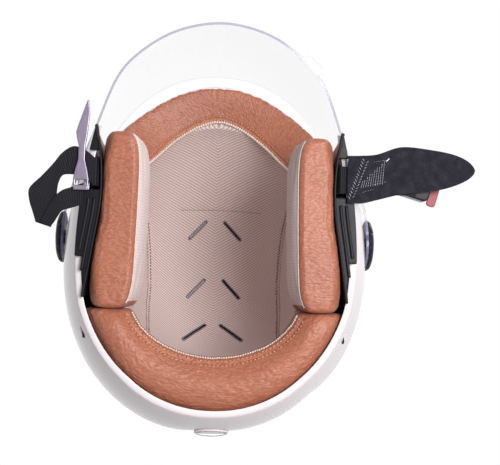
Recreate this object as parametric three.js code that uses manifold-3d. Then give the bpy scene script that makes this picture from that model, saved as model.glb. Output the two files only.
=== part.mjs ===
// Open face motorcycle helmet, in millimetres. +Z is up as worn, the face looks along -Y and the
// wearer's left side is +X. The origin is the centre of the head opening, on the plane that the
// cheek pads and the neck roll rest on when the helmet stands on a table.
import * as THREE from 'three';
import Module from 'manifold-3d';
import { mergeVertices } from 'three/addons/utils/BufferGeometryUtils.js';

const wasm = await Module();
wasm.setup();

// Driving dimensions
const seatGap = 0.3; // between two pieces that touch
const softGap = 0.6; // between padding and what holds it
const wall = 4; // shell laminate
const facetSag = 1.6; // how far a faceted wall lies inside its true curve
const linerThickness = 8; // crown cushion

// An egg is a plan curve that swells from its lower pole to its girth and closes at the crown
const shellEgg = {
  halfWidth: 121,
  girthHeight: 85,
  girthY: 30,
  frontReach: 161,
  rearReach: 136,
  crownRise: 145,
  skirtDrop: 143,
  jawFlare: 130, // how much further forward the side walls would meet, at the rim
  frontPower: 1.9,
  rearPower: 2.1,
};
const headEgg = {
  halfWidth: 77,
  girthHeight: 85,
  girthY: 10,
  frontReach: 114,
  rearReach: 100,
  crownRise: 93,
  skirtDrop: 120,
  jawFlare: 0,
  frontPower: 2.1,
  rearPower: 2.2,
};

// Edge of the shell, as seen from the side
const edge = {
  rearHeight: 1,
  rearEndY: 112,
  sideHeight: 8.5,
  sideStartY: 62,
  cornerY: -70,
  cornerRadius: 9,
  templeY: -64,
  templeHeight: 68,
  browHeight: 118,
};

const visor = {
  thickness: 2,
  earRadius: 20,
  browGap: 9.2, // from the shell's brow to the upper edge
  chinReach: 20, // the lower edge stands this much further forward
  belly: 5,
  sweepY: -40, // ahead of it the belly also swells forward
};
const liftTabSize = { width: 20, reach: 10, row: 10 };
const pivot = {
  y: 10,
  z: 85,
  seatDepth: 0.2, // flat spot sunk into the shell
  seatRadius: 13,
  bossDepth: 8,
  sleeveRadius: 5.5,
  screwRadius: 2.5,
  screwHeadRadius: 4.6,
  screwHeadHeight: 2,
  washerRadius: 11,
  washerThickness: 1,
  capRadius: 21,
  capHeight: 4.6,
  nutRadius: 9,
  nutThickness: 3,
  runningGap: 0.5,
};

const strap = {
  width: 20,
  thickness: 1.6,
  y: -34, // middle of the strap where it leaves the rim
  hingeZ: 4,
  slack: 1.5, // beside the blade
};
const anchor = {
  z: 40,
  plateLength: 24,
  plateHeight: 15,
  plateThickness: 1.5,
  rivetRadius: 3,
  rivetHeadRadius: 5.5,
  rivetHeadHeight: 1.6,
};

const cheek = {
  height: 75,
  ledgeHeight: 28, // below it the pad reaches out to the side trim
  frontY: -65,
  rearGap: 1.2, // to the neck roll's ends
  sideRoom: 62, // from the pad's inner face to the shell's widest place
  bulge: 8,
  thickness: 16.3,
  baseThickness: 10.6,
  baseFrontY: -50,
  baseRearY: 48,
};
cheek.innerX = shellEgg.halfWidth - cheek.sideRoom;
cheek.outerX = cheek.innerX + cheek.thickness;
const snap = { thickness: 1.2, height: 8, length: 76, studRadius: 2.2, studLength: 5, pitch: 30, z: 62 };
snap.fromX = cheek.outerX + cheek.baseThickness + seatGap;
snap.tipX = snap.fromX + snap.thickness + snap.studLength;
const snapPlaces = [-snap.pitch, 0, snap.pitch];
const neckRoll = { innerHalfWidth: 63, innerReach: 46, centreY: 52, height: 35, endY: 65, pressed: 0.5 };
cheek.rearY = neckRoll.endY - cheek.rearGap;
const browRoll = { width: 23, height: 15.5 };
const trim = {
  bladeThickness: 1.6,
  bottom: 3,
  bladeTop: 26,
  frontY: -69,
  wedgeRearY: -58,
  roomBefore: 6.4, // from the front cover to the strap's edge
  roomBehind: 3.4,
  stepY: 27,
  rearY: 57,
  ribHeight: 1.3,
  ribWidth: 2.2,
};
const ventSlit = { length: 24, width: 2.4 };
const sideVent = { y: 82.5, z: 16, length: 9, height: 4.4, lip: 1.4 };
const badge = { halfWidth: 13, halfHeight: 9.5, thickness: 1.2, height: 30 };

const buckle = {
  x: 143.5,
  y: -34.7,
  turn: 16, // degrees about +Z
  length: 30,
  width: 23,
  height: 11,
  wall: 2,
  slotHeight: 4.6,
  pinRadius: 1.2,
  leverWidth: 15,
};
const felt = { thickness: 3, bottom: 0.35, bevel: 0.8 };
const tongue = {
  thickness: 2.4,
  bottom: 0.35,
  x: -99.6,
  endY: -20,
  slotWidth: 7.8,
  teeth: 8,
  firstTooth: 40,
  toothPitch: 2.6,
  toothDepth: 1,
};

// Materials
const finish = (color, roughness, metalness = 0, extra = {}) =>
  new THREE.MeshStandardMaterial({ color, roughness, metalness, ...extra });
const paint = finish(0xeae4e2, 0.28);
const foam = finish(0x2b2b2e, 0.9);
const knit = finish(0xb9aca0, 0.95);
const leather = finish(0xbd7a5c, 0.6);
const blackPlastic = finish(0x26252b, 0.45);
const webbing = finish(0x232329, 0.85);
const feltCloth = finish(0x35343c, 0.98);
const redPlastic = finish(0x9c3038, 0.4);
const steel = finish(0xb9b6be, 0.3, 0.9);
const clear = finish(0xe9ecf6, 0.05, 0, { transparent: true, opacity: 0.25 });

// Solids from rings of points, and their joins and cuts
function loft(rings, firstTip, lastTip) {
  const count = rings[0].length;
  const middle = (ring) => ring.reduce((sum, p) => sum.add(p), new THREE.Vector3()).divideScalar(count);
  const points = [...rings.flat(), firstTip ?? middle(rings[0]), lastTip ?? middle(rings.at(-1))];
  const faces = [];
  for (let r = 0; r + 1 < rings.length; r++) {
    for (let i = 0; i < count; i++) {
      const a = r * count + i;
      const b = r * count + ((i + 1) % count);
      faces.push(a, b, a + count, b, b + count, a + count);
    }
  }
  const last = (rings.length - 1) * count;
  for (let i = 0; i < count; i++) {
    const next = (i + 1) % count;
    faces.push(next, i, points.length - 2, last + i, last + next, points.length - 1);
  }
  const geometry = new THREE.BufferGeometry().setFromPoints(points);
  geometry.setIndex(faces);
  return solid(geometry);
}

function solid(geometry) {
  const plain = geometry.index ? geometry.clone() : geometry;
  for (const name of Object.keys(plain.attributes)) {
    if (name !== 'position') plain.deleteAttribute(name);
  }
  const merged = mergeVertices(plain, 1e-4);
  const vertProperties = new Float32Array(merged.attributes.position.array);
  const triVerts = new Uint32Array(merged.index.array);
  const body = new wasm.Manifold(new wasm.Mesh({ numProp: 3, vertProperties, triVerts }));
  if (body.volume() > 0) return body;
  return new wasm.Manifold(new wasm.Mesh({ numProp: 3, vertProperties, triVerts: triVerts.reverse() }));
}

const join = (first, ...rest) => rest.reduce((sum, piece) => sum.add(piece), first);
const cut = (first, ...rest) => rest.reduce((sum, piece) => sum.subtract(piece), first);

function geometryOf(body, side = 1) {
  const { vertProperties, triVerts, numProp } = body.getMesh();
  const places = [];
  for (let i = 0; i < vertProperties.length; i += numProp) {
    places.push(side * vertProperties[i], vertProperties[i + 1], vertProperties[i + 2]);
  }
  const geometry = new THREE.BufferGeometry();
  geometry.setAttribute('position', new THREE.Float32BufferAttribute(places, 3));
  geometry.setIndex([...(side > 0 ? triVerts : triVerts.reverse())]);
  geometry.computeVertexNormals();
  return geometry;
}

// A round bar along X, from one X to another
function barX(radius, fromX, toX, y, z, segments = 18) {
  const bar = new THREE.CylinderGeometry(radius, radius, toX - fromX, segments);
  bar.rotateZ(Math.PI / 2).translate((fromX + toX) / 2, y, z);
  return solid(bar);
}

function block(minX, maxX, minY, maxY, minZ, maxZ) {
  const box = new THREE.BoxGeometry(maxX - minX, maxY - minY, maxZ - minZ);
  return solid(box.translate((minX + maxX) / 2, (minY + maxY) / 2, (minZ + maxZ) / 2));
}

// A side view outline, drawn in Y and Z, run from one X to another
function sideExtrude(shape, fromX, toX) {
  const depth = toX - fromX;
  const body = new THREE.ExtrudeGeometry(shape, { depth, bevelEnabled: false, curveSegments: 10 });
  const turn = new THREE.Matrix4().makeBasis(
    new THREE.Vector3(0, 1, 0), new THREE.Vector3(0, 0, 1), new THREE.Vector3(1, 0, 0));
  return solid(body.applyMatrix4(turn).translate(fromX, 0, 0));
}

// A plan outline, drawn in X and Y, run from one height to another
function planExtrude(shape, fromZ, toZ, curveSegments = 10) {
  const body = new THREE.ExtrudeGeometry(shape, { depth: toZ - fromZ, bevelEnabled: false, curveSegments });
  return solid(body.translate(0, 0, fromZ));
}

const signedPower = (value, power) => Math.sign(value) * Math.abs(value) ** power;
const mix = (a, b, t) => a + (b - a) * t;
const degrees = (value) => (value * Math.PI) / 180;
const smooth = (from, to, value) => THREE.MathUtils.smoothstep(value, from, to);

// The egg's size at one height, with its wall drawn in by inset
function eggSizes(egg, inset, z) {
  const above = z >= egg.girthHeight;
  const reach = (above ? egg.crownRise : egg.skirtDrop) - inset;
  const level = (z - egg.girthHeight) / reach;
  const spread = Math.sqrt(Math.max(0, 1 - level * level));
  const flare = above ? 0 : egg.jawFlare * ((egg.girthHeight - z) / egg.girthHeight) ** 2;
  return {
    halfWidth: (egg.halfWidth - inset) * spread,
    front: (egg.frontReach - inset + flare) * spread,
    rear: (egg.rearReach - inset) * spread,
  };
}

// Half the egg's width at a place along Y and at a height
function eggHalfWidth(egg, inset, y, z) {
  const size = eggSizes(egg, inset, z);
  const ahead = y < egg.girthY;
  const power = ahead ? egg.frontPower : egg.rearPower;
  const share = Math.abs(y - egg.girthY) / (ahead ? size.front : size.rear);
  return size.halfWidth * Math.max(0, 1 - share ** power) ** (1 / power);
}

function eggPoint(egg, inset, angle, z) {
  const size = eggSizes(egg, inset, z);
  const across = Math.cos(angle);
  const along = Math.sin(angle);
  const power = along < 0 ? egg.frontPower : egg.rearPower;
  const x = size.halfWidth * signedPower(across, 2 / power);
  const y = egg.girthY + (along < 0 ? size.front : size.rear) * signedPower(along, 2 / power);
  return new THREE.Vector3(x, y, z);
}

function eggSolid(egg, inset, around, rows) {
  const rings = [];
  for (let r = -rows + 1; r < rows; r++) {
    const rise = Math.sin((r / rows) * (Math.PI / 2));
    const z = egg.girthHeight + rise * ((rise < 0 ? egg.skirtDrop : egg.crownRise) - inset);
    rings.push(Array.from({ length: around }, (_, i) => eggPoint(egg, inset, (i / around) * 2 * Math.PI, z)));
  }
  const tip = (z) => new THREE.Vector3(0, egg.girthY, z);
  const bottom = egg.girthHeight - egg.skirtDrop + inset;
  return loft(rings, tip(bottom), tip(egg.girthHeight + egg.crownRise - inset));
}

// Where the visor's ears ride, on the wearer's left
pivot.seatX = eggHalfWidth(shellEgg, 0, pivot.y, pivot.z) - pivot.seatDepth;
const earInnerX = pivot.seatX + pivot.washerThickness + 2 * seatGap;

// The face opening's upper edge is a quarter ellipse from the temple to the brow
const browY = shellEgg.girthY - eggSizes(shellEgg, 0, edge.browHeight).front;
const faceRun = edge.templeY - browY;
const faceRise = edge.browHeight - edge.templeHeight;

// Facets around and from girth to pole; two surfaces that lie close share one pattern
const facets = {
  shell: [40, 7],
  shellInside: [36, 6],
  cushion: [28, 5],
  head: [28, 5],
  roll: [20, 12],
  rollCut: [20, 8],
};

// What a layer keeps of its egg, as seen from the side: drawn back from the face edge by back
function keptSide(back, rearBottom, sideBottom, stepY) {
  const far = 260;
  const shape = new THREE.Shape();
  shape.moveTo(far, rearBottom);
  shape.lineTo(stepY + (edge.rearEndY - edge.sideStartY), rearBottom);
  shape.lineTo(stepY, sideBottom);
  const cornerY = edge.cornerY + back;
  shape.lineTo(cornerY + edge.cornerRadius, sideBottom);
  shape.quadraticCurveTo(cornerY, sideBottom, cornerY, sideBottom + edge.cornerRadius);
  const low = Math.max(edge.templeHeight, sideBottom + edge.cornerRadius + 1);
  shape.lineTo(edge.templeY + back, low);
  shape.absellipse(browY, low, faceRun + back, faceRise + edge.templeHeight - low + back, 0, Math.PI / 2);
  shape.lineTo(-far, edge.browHeight + back);
  shape.lineTo(-far, far);
  shape.lineTo(far, far);
  return sideExtrude(shape, -far, far);
}

// Outer shell
function outerShell() {
  const skin = cut(eggSolid(shellEgg, 0, ...facets.shell), eggSolid(shellEgg, wall, ...facets.shellInside));
  const kept = skin.intersect(keptSide(0, edge.rearHeight, edge.sideHeight, edge.sideStartY));
  let shell = kept;
  for (const side of [-1, 1]) {
    const span = (inner, outer) => (side > 0 ? [inner, outer] : [-outer, -inner]);
    const at = [pivot.y, pivot.z];
    const boss = barX(pivot.seatRadius, ...span(pivot.seatX - pivot.bossDepth, pivot.seatX), ...at);
    const facing = barX(pivot.seatRadius, ...span(pivot.seatX, shellEgg.halfWidth + 9), ...at);
    const through = span(shellEgg.halfWidth / 2, shellEgg.halfWidth + 20);
    const bore = barX(pivot.screwRadius + pivot.runningGap, ...through, ...at, 14);
    const rivetHole = barX(anchor.rivetRadius + seatGap, ...through, strap.y, anchor.z, 14);
    const vent = barX(1, ...through, 0, 0, 20).scale([1, sideVent.length / 2, sideVent.height / 2]);
    const placedVent = vent.translate([0, sideVent.y, sideVent.z]);
    shell = cut(join(shell, boss), facing, bore, rivetHole, placedVent);
  }
  return shell;
}

// All the room inside the shell, less the padding's clearance
const shellInside = () => eggSolid(shellEgg, wall + softGap, ...facets.shellInside);

// Impact liner of expanded foam, between the shell and the comfort liner
const epsBottom = { rear: 36, side: 54 };
function epsLiner() {
  const outer = eggSolid(shellEgg, wall + seatGap, ...facets.shellInside);
  const inner = eggSolid(headEgg, -linerThickness - seatGap, ...facets.cushion);
  const kept = keptSide(browRoll.height + 2 * softGap, epsBottom.rear, epsBottom.side, neckRoll.endY);
  let liner = cut(outer, inner).intersect(kept);
  const reach = snap.fromX + snap.thickness + seatGap;
  liner = cut(liner, block(-reach, reach, -110, cheek.baseRearY + 8, 0, cheek.height + 2 * softGap));
  for (const side of [-1, 1]) {
    const span = side > 0 ? [reach - 1, shellEgg.halfWidth] : [-shellEgg.halfWidth, 1 - reach];
    const sockets = snapPlaces.map((y) => barX(snap.studRadius + seatGap, ...span, y, snap.z, 8));
    liner = cut(liner, barX(pivot.seatRadius + 1.5, ...span, pivot.y, pivot.z, 12), ...sockets);
  }
  return cut(liner, browRollSolid(2 * softGap));
}

// Slit places in the crown: the middle of each on the wearer's left, its turn and its height
const slitRows = [
  { x: 16, y: -4, turn: 47 },
  { x: 16, y: 50, turn: 47 },
  { x: 16, y: 88, turn: 32 },
];
function crownLiner() {
  const outer = eggSolid(headEgg, -linerThickness, ...facets.cushion);
  const inner = eggSolid(headEgg, 0, ...facets.head);
  const back = browRoll.height + 2 * softGap;
  const kept = keptSide(back, epsBottom.rear + 2, cheek.height + 2 * softGap, neckRoll.endY);
  let liner = cut(outer, inner).intersect(kept);
  for (const row of slitRows) {
    for (const side of [-1, 1]) {
      const slit = new THREE.CapsuleGeometry(ventSlit.width / 2, ventSlit.length - ventSlit.width, 1, 6);
      slit.scale(1, 1, 60).rotateZ(degrees(-90 + row.turn)).scale(side, 1, 1);
      slit.translate(side * row.x, row.y, headEgg.girthHeight + headEgg.crownRise);
      liner = cut(liner, solid(slit));
    }
  }
  return cut(liner, browRollSolid(2 * softGap));
}

// Brow roll: a leather covered roll along the face edge, from temple to temple
function faceEdgePoint(angle, inset) {
  let z = edge.browHeight;
  let point;
  for (let turn = 0; turn < 12; turn++) {
    point = eggPoint(shellEgg, inset, angle, z);
    const share = THREE.MathUtils.clamp((point.y - browY) / faceRun, 0, 1);
    z = edge.templeHeight + faceRise * Math.sqrt(1 - share * share);
  }
  return { point, lift: Math.acos(THREE.MathUtils.clamp((point.y - browY) / faceRun, 0, 1)) };
}

function browRollSolid(grow = 0) {
  const rings = [];
  const [steps, sides] = grow > 0 ? facets.rollCut : facets.roll;
  const from = degrees(-144);
  const to = degrees(-36);
  for (let s = 0; s <= steps; s++) {
    const { point, lift } = faceEdgePoint(mix(from, to, s / steps), wall + softGap);
    const inward = new THREE.Vector3(-point.x, headEgg.girthY - browRoll.width - point.y, 0).normalize();
    const deep = new THREE.Vector3(0, Math.cos(lift), Math.sin(lift));
    const end = 1 - 0.35 * Math.abs((2 * s) / steps - 1) ** 12;
    rings.push(Array.from({ length: sides }, (_, i) => {
      const angle = (i / sides) * 2 * Math.PI;
      const across = 0.5 - 0.5 * signedPower(Math.cos(angle), 0.6);
      const high = 0.5 + 0.5 * signedPower(Math.sin(angle), 0.75) * end;
      const drawn = high < 0.5 ? 1.6 * Math.exp(-(((across - 0.84) / 0.07) ** 2)) : 0;
      return point.clone()
        .addScaledVector(inward, across * (browRoll.width + 2 * grow) - grow)
        .addScaledVector(deep, high * (browRoll.height + 2 * grow) - grow + drawn + across * 1.5);
    }));
  }
  if (grow > 0) return loft(rings);
  const padTop = cheek.height + softGap;
  return cut(loft(rings).intersect(shellInside()), block(-120, 120, -130, 60, 0, padTop));
}

// Neck roll: a leather covered crescent across the back of the opening
function neckRollSolid() {
  const rings = [];
  const [steps, sides] = facets.roll;
  const startAngle = Math.asin((neckRoll.endY - neckRoll.centreY) / neckRoll.innerReach);
  for (let s = 0; s <= steps; s++) {
    const angle = mix(startAngle, Math.PI - startAngle, s / steps);
    const inner = new THREE.Vector3(
      neckRoll.innerHalfWidth * Math.cos(angle), neckRoll.centreY + neckRoll.innerReach * Math.sin(angle), 0);
    const outerAt = (z) => rayToShell(inner, (s / steps) * Math.PI, z);
    const end = 1 - 0.3 * Math.abs((2 * s) / steps - 1) ** 14;
    rings.push(Array.from({ length: sides }, (_, i) => {
      const turn = (i / sides) * 2 * Math.PI;
      const across = 0.5 + 0.5 * signedPower(Math.cos(turn), 0.45);
      const squareness = Math.cos(turn) > 0 ? 0.4 : 0.75;
      const high = 0.5 + 0.5 * signedPower(Math.sin(turn), squareness) * end;
      const drawn = high < 0.5 ? 1.8 * Math.exp(-(((across - 0.13) / 0.06) ** 2)) : 0;
      const lifted = 30 * Math.max(0, 0.42 - across) ** 1.5;
      const risen = high * (neckRoll.height + neckRoll.pressed) - neckRoll.pressed;
      const z = Math.max(0, risen + drawn + lifted * (1 - high));
      const outer = outerAt(z);
      return new THREE.Vector3(mix(inner.x, outer.x, across), mix(inner.y, outer.y, across), z);
    }));
  }
  return loft(rings).intersect(shellInside());
}

// Where a level line from a point meets the inside of the shell, less the padding's clearance
function rayToShell(from, angle, z) {
  const direction = new THREE.Vector3(Math.cos(angle), Math.sin(angle), 0);
  const base = new THREE.Vector3(from.x, from.y, z);
  let near = 0;
  let far = 120;
  for (let turn = 0; turn < 24; turn++) {
    const half = (near + far) / 2;
    const test = base.clone().addScaledVector(direction, half);
    const inside = Math.abs(test.x) < eggHalfWidth(shellEgg, wall + softGap, test.y, z);
    if (inside) near = half;
    else far = half;
  }
  return base.addScaledVector(direction, near - softGap);
}

// Side trims: the moulded black edge beside each cheek pad, on the wearer's left
const trimWidths = [[trim.frontY, 1.1], [-42, 10.7], [-14, 15], [18, 12.8], [trim.rearY, 4.9]];
const trimInner = new THREE.CatmullRomCurve3(trimWidths.map(([y, width]) =>
  new THREE.Vector3(eggHalfWidth(shellEgg, 0, y, edge.sideHeight) - width, y, 0)));
function trimInnerX(y) {
  const run = trim.rearY - trim.frontY;
  let at = THREE.MathUtils.clamp((y - trim.frontY) / run, 0, 1);
  for (let turn = 0; turn < 12; turn++) {
    at = THREE.MathUtils.clamp(at + (y - trimInner.getPoint(at).y) / run, 0, 1);
  }
  return trimInner.getPoint(at).x;
}

// The strap leaves the helmet between the trim's blade and the shell
const strapHingeX = trimInnerX(strap.y) + trim.bladeThickness + strap.thickness / 2 + strap.slack;

// A bar of rectangular section that follows the trim's inner edge
function trimBar(fromY, toY, steps, section) {
  const rings = [];
  for (let s = 0; s <= steps; s++) {
    const y = mix(fromY, toY, s / steps);
    const { minX, maxX, minZ, maxZ } = section(y);
    const corners = [[minX, minZ], [maxX, minZ], [maxX, maxZ], [minX, maxZ]];
    rings.push(corners.map(([x, z]) => new THREE.Vector3(x, y, z)));
  }
  return loft(rings);
}

function sideTrim() {
  const blade = trimBar(trim.frontY, trim.rearY, 14, (y) => {
    const x = trimInnerX(y);
    const top = mix(trim.bottom + 9, trim.bladeTop, smooth(trim.frontY, trim.frontY + 14, y));
    return { minX: x, maxX: x + trim.bladeThickness, minZ: trim.bottom, maxZ: top };
  });
  const frontWedge = trimBar(trim.frontY, trim.wedgeRearY, 3, (y) => {
    const outer = eggHalfWidth(shellEgg, wall + seatGap, y, edge.sideHeight) - 0.5;
    const x = trimInnerX(y) + 1;
    return { minX: x, maxX: Math.max(x + 1.2, outer), minZ: trim.bottom, maxZ: trim.bottom + 10 };
  });
  const strapRearY = strap.y + strap.width / 2 + trim.roomBehind;
  const cover = (fromY, toY, steps) => trimBar(fromY, toY, steps, (y) => ({
    minX: trimInnerX(y) + 1,
    maxX: eggHalfWidth(shellEgg, 0, y, edge.sideHeight) + 0.4,
    minZ: trim.bottom + trim.ribHeight,
    maxZ: edge.sideHeight - seatGap,
  }));
  const frontCover = cover(trim.frontY + 2, strap.y - strap.width / 2 - trim.roomBefore, 4);
  const rearCover = cover(strapRearY, trim.stepY, 11);
  const ribTop = trim.bottom + trim.ribHeight;
  const tail = trimBar(trim.stepY - 1, trim.rearY, 6, (y) => ({
    minX: trimInnerX(y) + 1,
    maxX: Math.max(trimInnerX(y) + 2, eggHalfWidth(shellEgg, wall + seatGap, y, ribTop)),
    minZ: trim.bottom + trim.ribHeight,
    maxZ: edge.sideHeight - seatGap,
  }));
  const rib = (offset, fromY, toY) => trimBar(fromY, toY, 9, (y) => ({
    minX: trimInnerX(y) + offset,
    maxX: trimInnerX(y) + offset + trim.ribWidth,
    minZ: trim.bottom,
    maxZ: trim.bottom + trim.ribHeight + 1,
  }));
  const whole = join(blade, frontWedge, frontCover, rearCover, tail,
    rib(4.2, strapRearY + 6, trim.stepY + 10), rib(8.4, strapRearY + 6, trim.stepY - 4));
  const underRim = block(70, 120, -100, 100, 0, edge.sideHeight - seatGap);
  const insideShell = eggSolid(shellEgg, wall + seatGap, ...facets.shellInside);
  return join(whole.intersect(underRim), whole.intersect(insideShell));
}

// Cheek pads on the wearer's left: a crowned cushion, drawn in at its ends, flat where it rests
function cheekPad() {
  const levels = [
    { z: 0, size: 0.93 },
    { z: 1.5, size: 0.975 },
    { z: 5, size: 1 },
    { z: 14, size: 1 },
    { z: cheek.ledgeHeight - 2, size: 1 },
    { z: cheek.ledgeHeight + 2, size: 0.99 },
    { z: 40, size: 0.985 },
    { z: 52, size: 0.97 },
    { z: 63, size: 0.93 },
    { z: 70, size: 0.87 },
    { z: cheek.height, size: 0.75 },
  ];
  const sides = 28;
  const rings = levels.map(({ z, size }) => Array.from({ length: sides }, (_, i) => {
    const angle = (i / sides) * 2 * Math.PI;
    const across = signedPower(Math.cos(angle), 0.42) * size;
    const along = signedPower(Math.sin(angle), 0.36) * (0.5 + size / 2);
    const y = mix(cheek.frontY, cheek.rearY, 0.5 + along / 2);
    const height = z / cheek.height;
    const crown = cheek.bulge * Math.sin(Math.PI * Math.min(1, height * 1.05) ** 0.8);
    const inner = cheek.innerX + 2 * smooth(-60, 60, y) - crown * (1 - 0.45 * along ** 4) + 9 * height ** 3;
    const atTrim = trimInnerX(y) - softGap;
    const outer = mix(atTrim, cheek.outerX, smooth(cheek.ledgeHeight - 1, cheek.ledgeHeight + 1, z));
    return new THREE.Vector3(mix(inner, outer, 0.5 + across / 2), y, z);
  }));
  const beside = trimBar(trim.frontY - 2, trim.rearY + 8, 20, (y) => (
    { minX: trimInnerX(y) - softGap, maxX: 120, minZ: -1, maxZ: trim.bladeTop + softGap }));
  const behind = wall + trim.bladeThickness + 2 * softGap;
  return cut(loft(rings), beside).intersect(eggSolid(shellEgg, behind, ...facets.shellInside));
}

// Hard base behind each cheek pad, in the impact liner's pocket
function cheekBase() {
  const inner = cheek.outerX + softGap;
  const levels = [cheek.ledgeHeight + 4, cheek.ledgeHeight + 8, 66, cheek.height - 1.5];
  const rings = levels.map((z, row) => Array.from({ length: 24 }, (_, i) => {
    const angle = (i / 24) * 2 * Math.PI;
    const edgeShare = row === 0 || row === levels.length - 1 ? 0.93 : 1;
    const across = 0.5 + 0.5 * signedPower(Math.cos(angle), 0.4) * edgeShare;
    const along = 0.5 + 0.5 * signedPower(Math.sin(angle), 0.3) * edgeShare;
    const x = mix(inner, inner + cheek.baseThickness - softGap, across);
    return new THREE.Vector3(x, mix(cheek.baseFrontY, cheek.baseRearY, along), z);
  }));
  return loft(rings);
}

// Snap strip that holds a cheek pad's base to the impact liner by its row of studs
function snapStrip() {
  const strip = block(
    snap.fromX, snap.fromX + snap.thickness, -snap.length / 2, snap.length / 2,
    snap.z - snap.height / 2, snap.z + snap.height / 2);
  return join(strip, ...snapPlaces.map((y) => barX(snap.studRadius, snap.fromX, snap.tipX, y, snap.z, 12)));
}

// Visor: a clear shield that swings over the shell on two ears
// Its edges from the ear to the middle, as shares of the ears' width and of the reach ahead of the
// pivot, with the height above the pivot
const visorLower = [
  [1, 0, -18], [0.982, 0.133, -19], [0.937, 0.253, -21], [0.809, 0.494, -28],
  [0.644, 0.765, -40], [0.495, 0.873, -44.5], [0.281, 0.961, -48], [0, 1, -49.5],
];
const visorUpper = [
  [1, 0, 18], [0.987, 0.123, 21], [0.949, 0.247, 24], [0.829, 0.479, 30],
  [0.644, 0.733, 36.5], [0.479, 0.87, 39], [0.264, 0.966, 40.5], [0, 1, 41],
];
function visorSections() {
  const curveOf = (list, reach) => new THREE.CatmullRomCurve3(list.map(([width, ahead, rise]) =>
    new THREE.Vector3(width * earInnerX, pivot.y - ahead * reach, pivot.z + rise)), false, 'centripetal');
  const upperReach = pivot.y - browY + visor.browGap;
  const lower = curveOf(visorLower, upperReach + visor.chinReach);
  const upper = curveOf(visorUpper, upperReach);
  const across = 5;
  const half = visorRows;
  const rows = [];
  for (let s = 0; s <= half; s++) {
    const low = lower.getPoint(s / half);
    const high = upper.getPoint(s / half);
    rows.push(Array.from({ length: across + 1 }, (_, i) => {
      const share = i / across;
      const belly = visor.belly * Math.sin(Math.PI * share) * smooth(0.25, 1, s / half);
      const point = low.clone().lerp(high, share);
      const away = new THREE.Vector3(point.x, Math.min(0, point.y - visor.sweepY), 0).normalize();
      return point.addScaledVector(away, belly);
    }));
  }
  const mirrorRow = (row) => row.map((p) => new THREE.Vector3(-p.x, p.y, p.z));
  return [...rows, ...rows.slice(0, -1).reverse().map(mirrorRow)];
}
const visorRows = 14;

function visorLens() {
  const rows = visorSections();
  const normalAt = (r, i) => {
    const alongStep = rows[Math.min(r + 1, rows.length - 1)][i].clone().sub(rows[Math.max(r - 1, 0)][i]);
    const acrossStep = rows[r][Math.min(i + 1, rows[r].length - 1)].clone().sub(rows[r][Math.max(i - 1, 0)]);
    return acrossStep.cross(alongStep).normalize();
  };
  const rings = rows.map((row, r) => {
    const outer = row.map((p, i) => {
      const atEar = r === 0 || r === rows.length - 1;
      const normal = atEar ? new THREE.Vector3(Math.sign(p.x), 0, 0) : normalAt(r, i);
      if (normal.dot(new THREE.Vector3(p.x, p.y - pivot.y, 0)) < 0) normal.negate();
      return p.clone().addScaledVector(normal, visor.thickness);
    });
    return [...row, ...outer.reverse()];
  });
  let lens = loft(rings);
  for (const side of [-1, 1]) {
    const outerX = earInnerX + visor.thickness;
    const span = side > 0 ? [earInnerX, outerX] : [-outerX, -earInnerX];
    const hole = side > 0 ? [earInnerX - 9, outerX + 9] : [-outerX - 9, 9 - earInnerX];
    const underEar = side > 0 ? [earInnerX - 9, earInnerX] : [-earInnerX, 9 - earInnerX];
    lens = cut(lens, barX(pivot.washerRadius + 1, ...underEar, pivot.y, pivot.z));
    lens = join(lens, barX(visor.earRadius, ...span, pivot.y, pivot.z, 24));
    lens = cut(lens, barX(pivot.sleeveRadius + pivot.runningGap, ...hole, pivot.y, pivot.z));
  }
  return join(lens, liftTab(rows));
}

// Lift tab on the lower edge, on the wearer's left
function liftTab(rows) {
  const { width, reach, row } = liftTabSize;
  const tab = new THREE.Shape();
  tab.moveTo(-width / 2, 0.4);
  tab.lineTo(-width * 0.42, reach - 2);
  tab.quadraticCurveTo(-width * 0.38, reach, -width * 0.28, reach);
  tab.lineTo(width * 0.26, reach);
  tab.quadraticCurveTo(width * 0.4, reach, width * 0.48, reach - 5);
  tab.lineTo(width * 0.52, 0.4);
  const root = rows[row][0];
  const along = rows[row + 1][0].clone().sub(rows[row - 1][0]);
  const body = planExtrude(tab, 0, visor.thickness, 5);
  const turn = THREE.MathUtils.radToDeg(Math.atan2(along.y, along.x));
  return body.rotate([0, 0, turn]).translate([root.x, root.y, root.z]);
}

// Pivot parts on the wearer's left, each a turned part about X
function turned(profile, x, segments = 24) {
  const part = new THREE.LatheGeometry(profile.map(([r, h]) => new THREE.Vector2(r, h)), segments);
  return solid(part.rotateZ(-Math.PI / 2).translate(x, pivot.y, pivot.z));
}

const capX = earInnerX + visor.thickness + seatGap;
function pivotCap() {
  const sleeve = pivot.seatX + seatGap - capX;
  const bore = pivot.screwRadius + seatGap;
  const recess = pivot.screwHeadRadius + seatGap;
  const top = pivot.capHeight;
  const sink = top - pivot.screwHeadHeight - 0.4;
  const r = pivot.capRadius;
  let cap = turned([
    [bore, sleeve], [pivot.sleeveRadius, sleeve], [pivot.sleeveRadius, 0], [r, 0], [r, top * 0.45],
    [r - 1.6, top * 0.84], [r - 5, top], [recess + 2, top], [recess, top - 0.5], [recess, sink], [bore, sink], [bore, sleeve],
  ], capX);
  const grips = 12;
  for (let i = 0; i < grips; i++) {
    const angle = (i / grips) * 2 * Math.PI;
    const [y, z] = [pivot.y + r * Math.cos(angle), pivot.z + r * Math.sin(angle)];
    const notch = barX(1.1, capX + top * 0.5, capX + top + 1, y, z, 6);
    cap = cut(cap, notch);
  }
  return cap;
}

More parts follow.
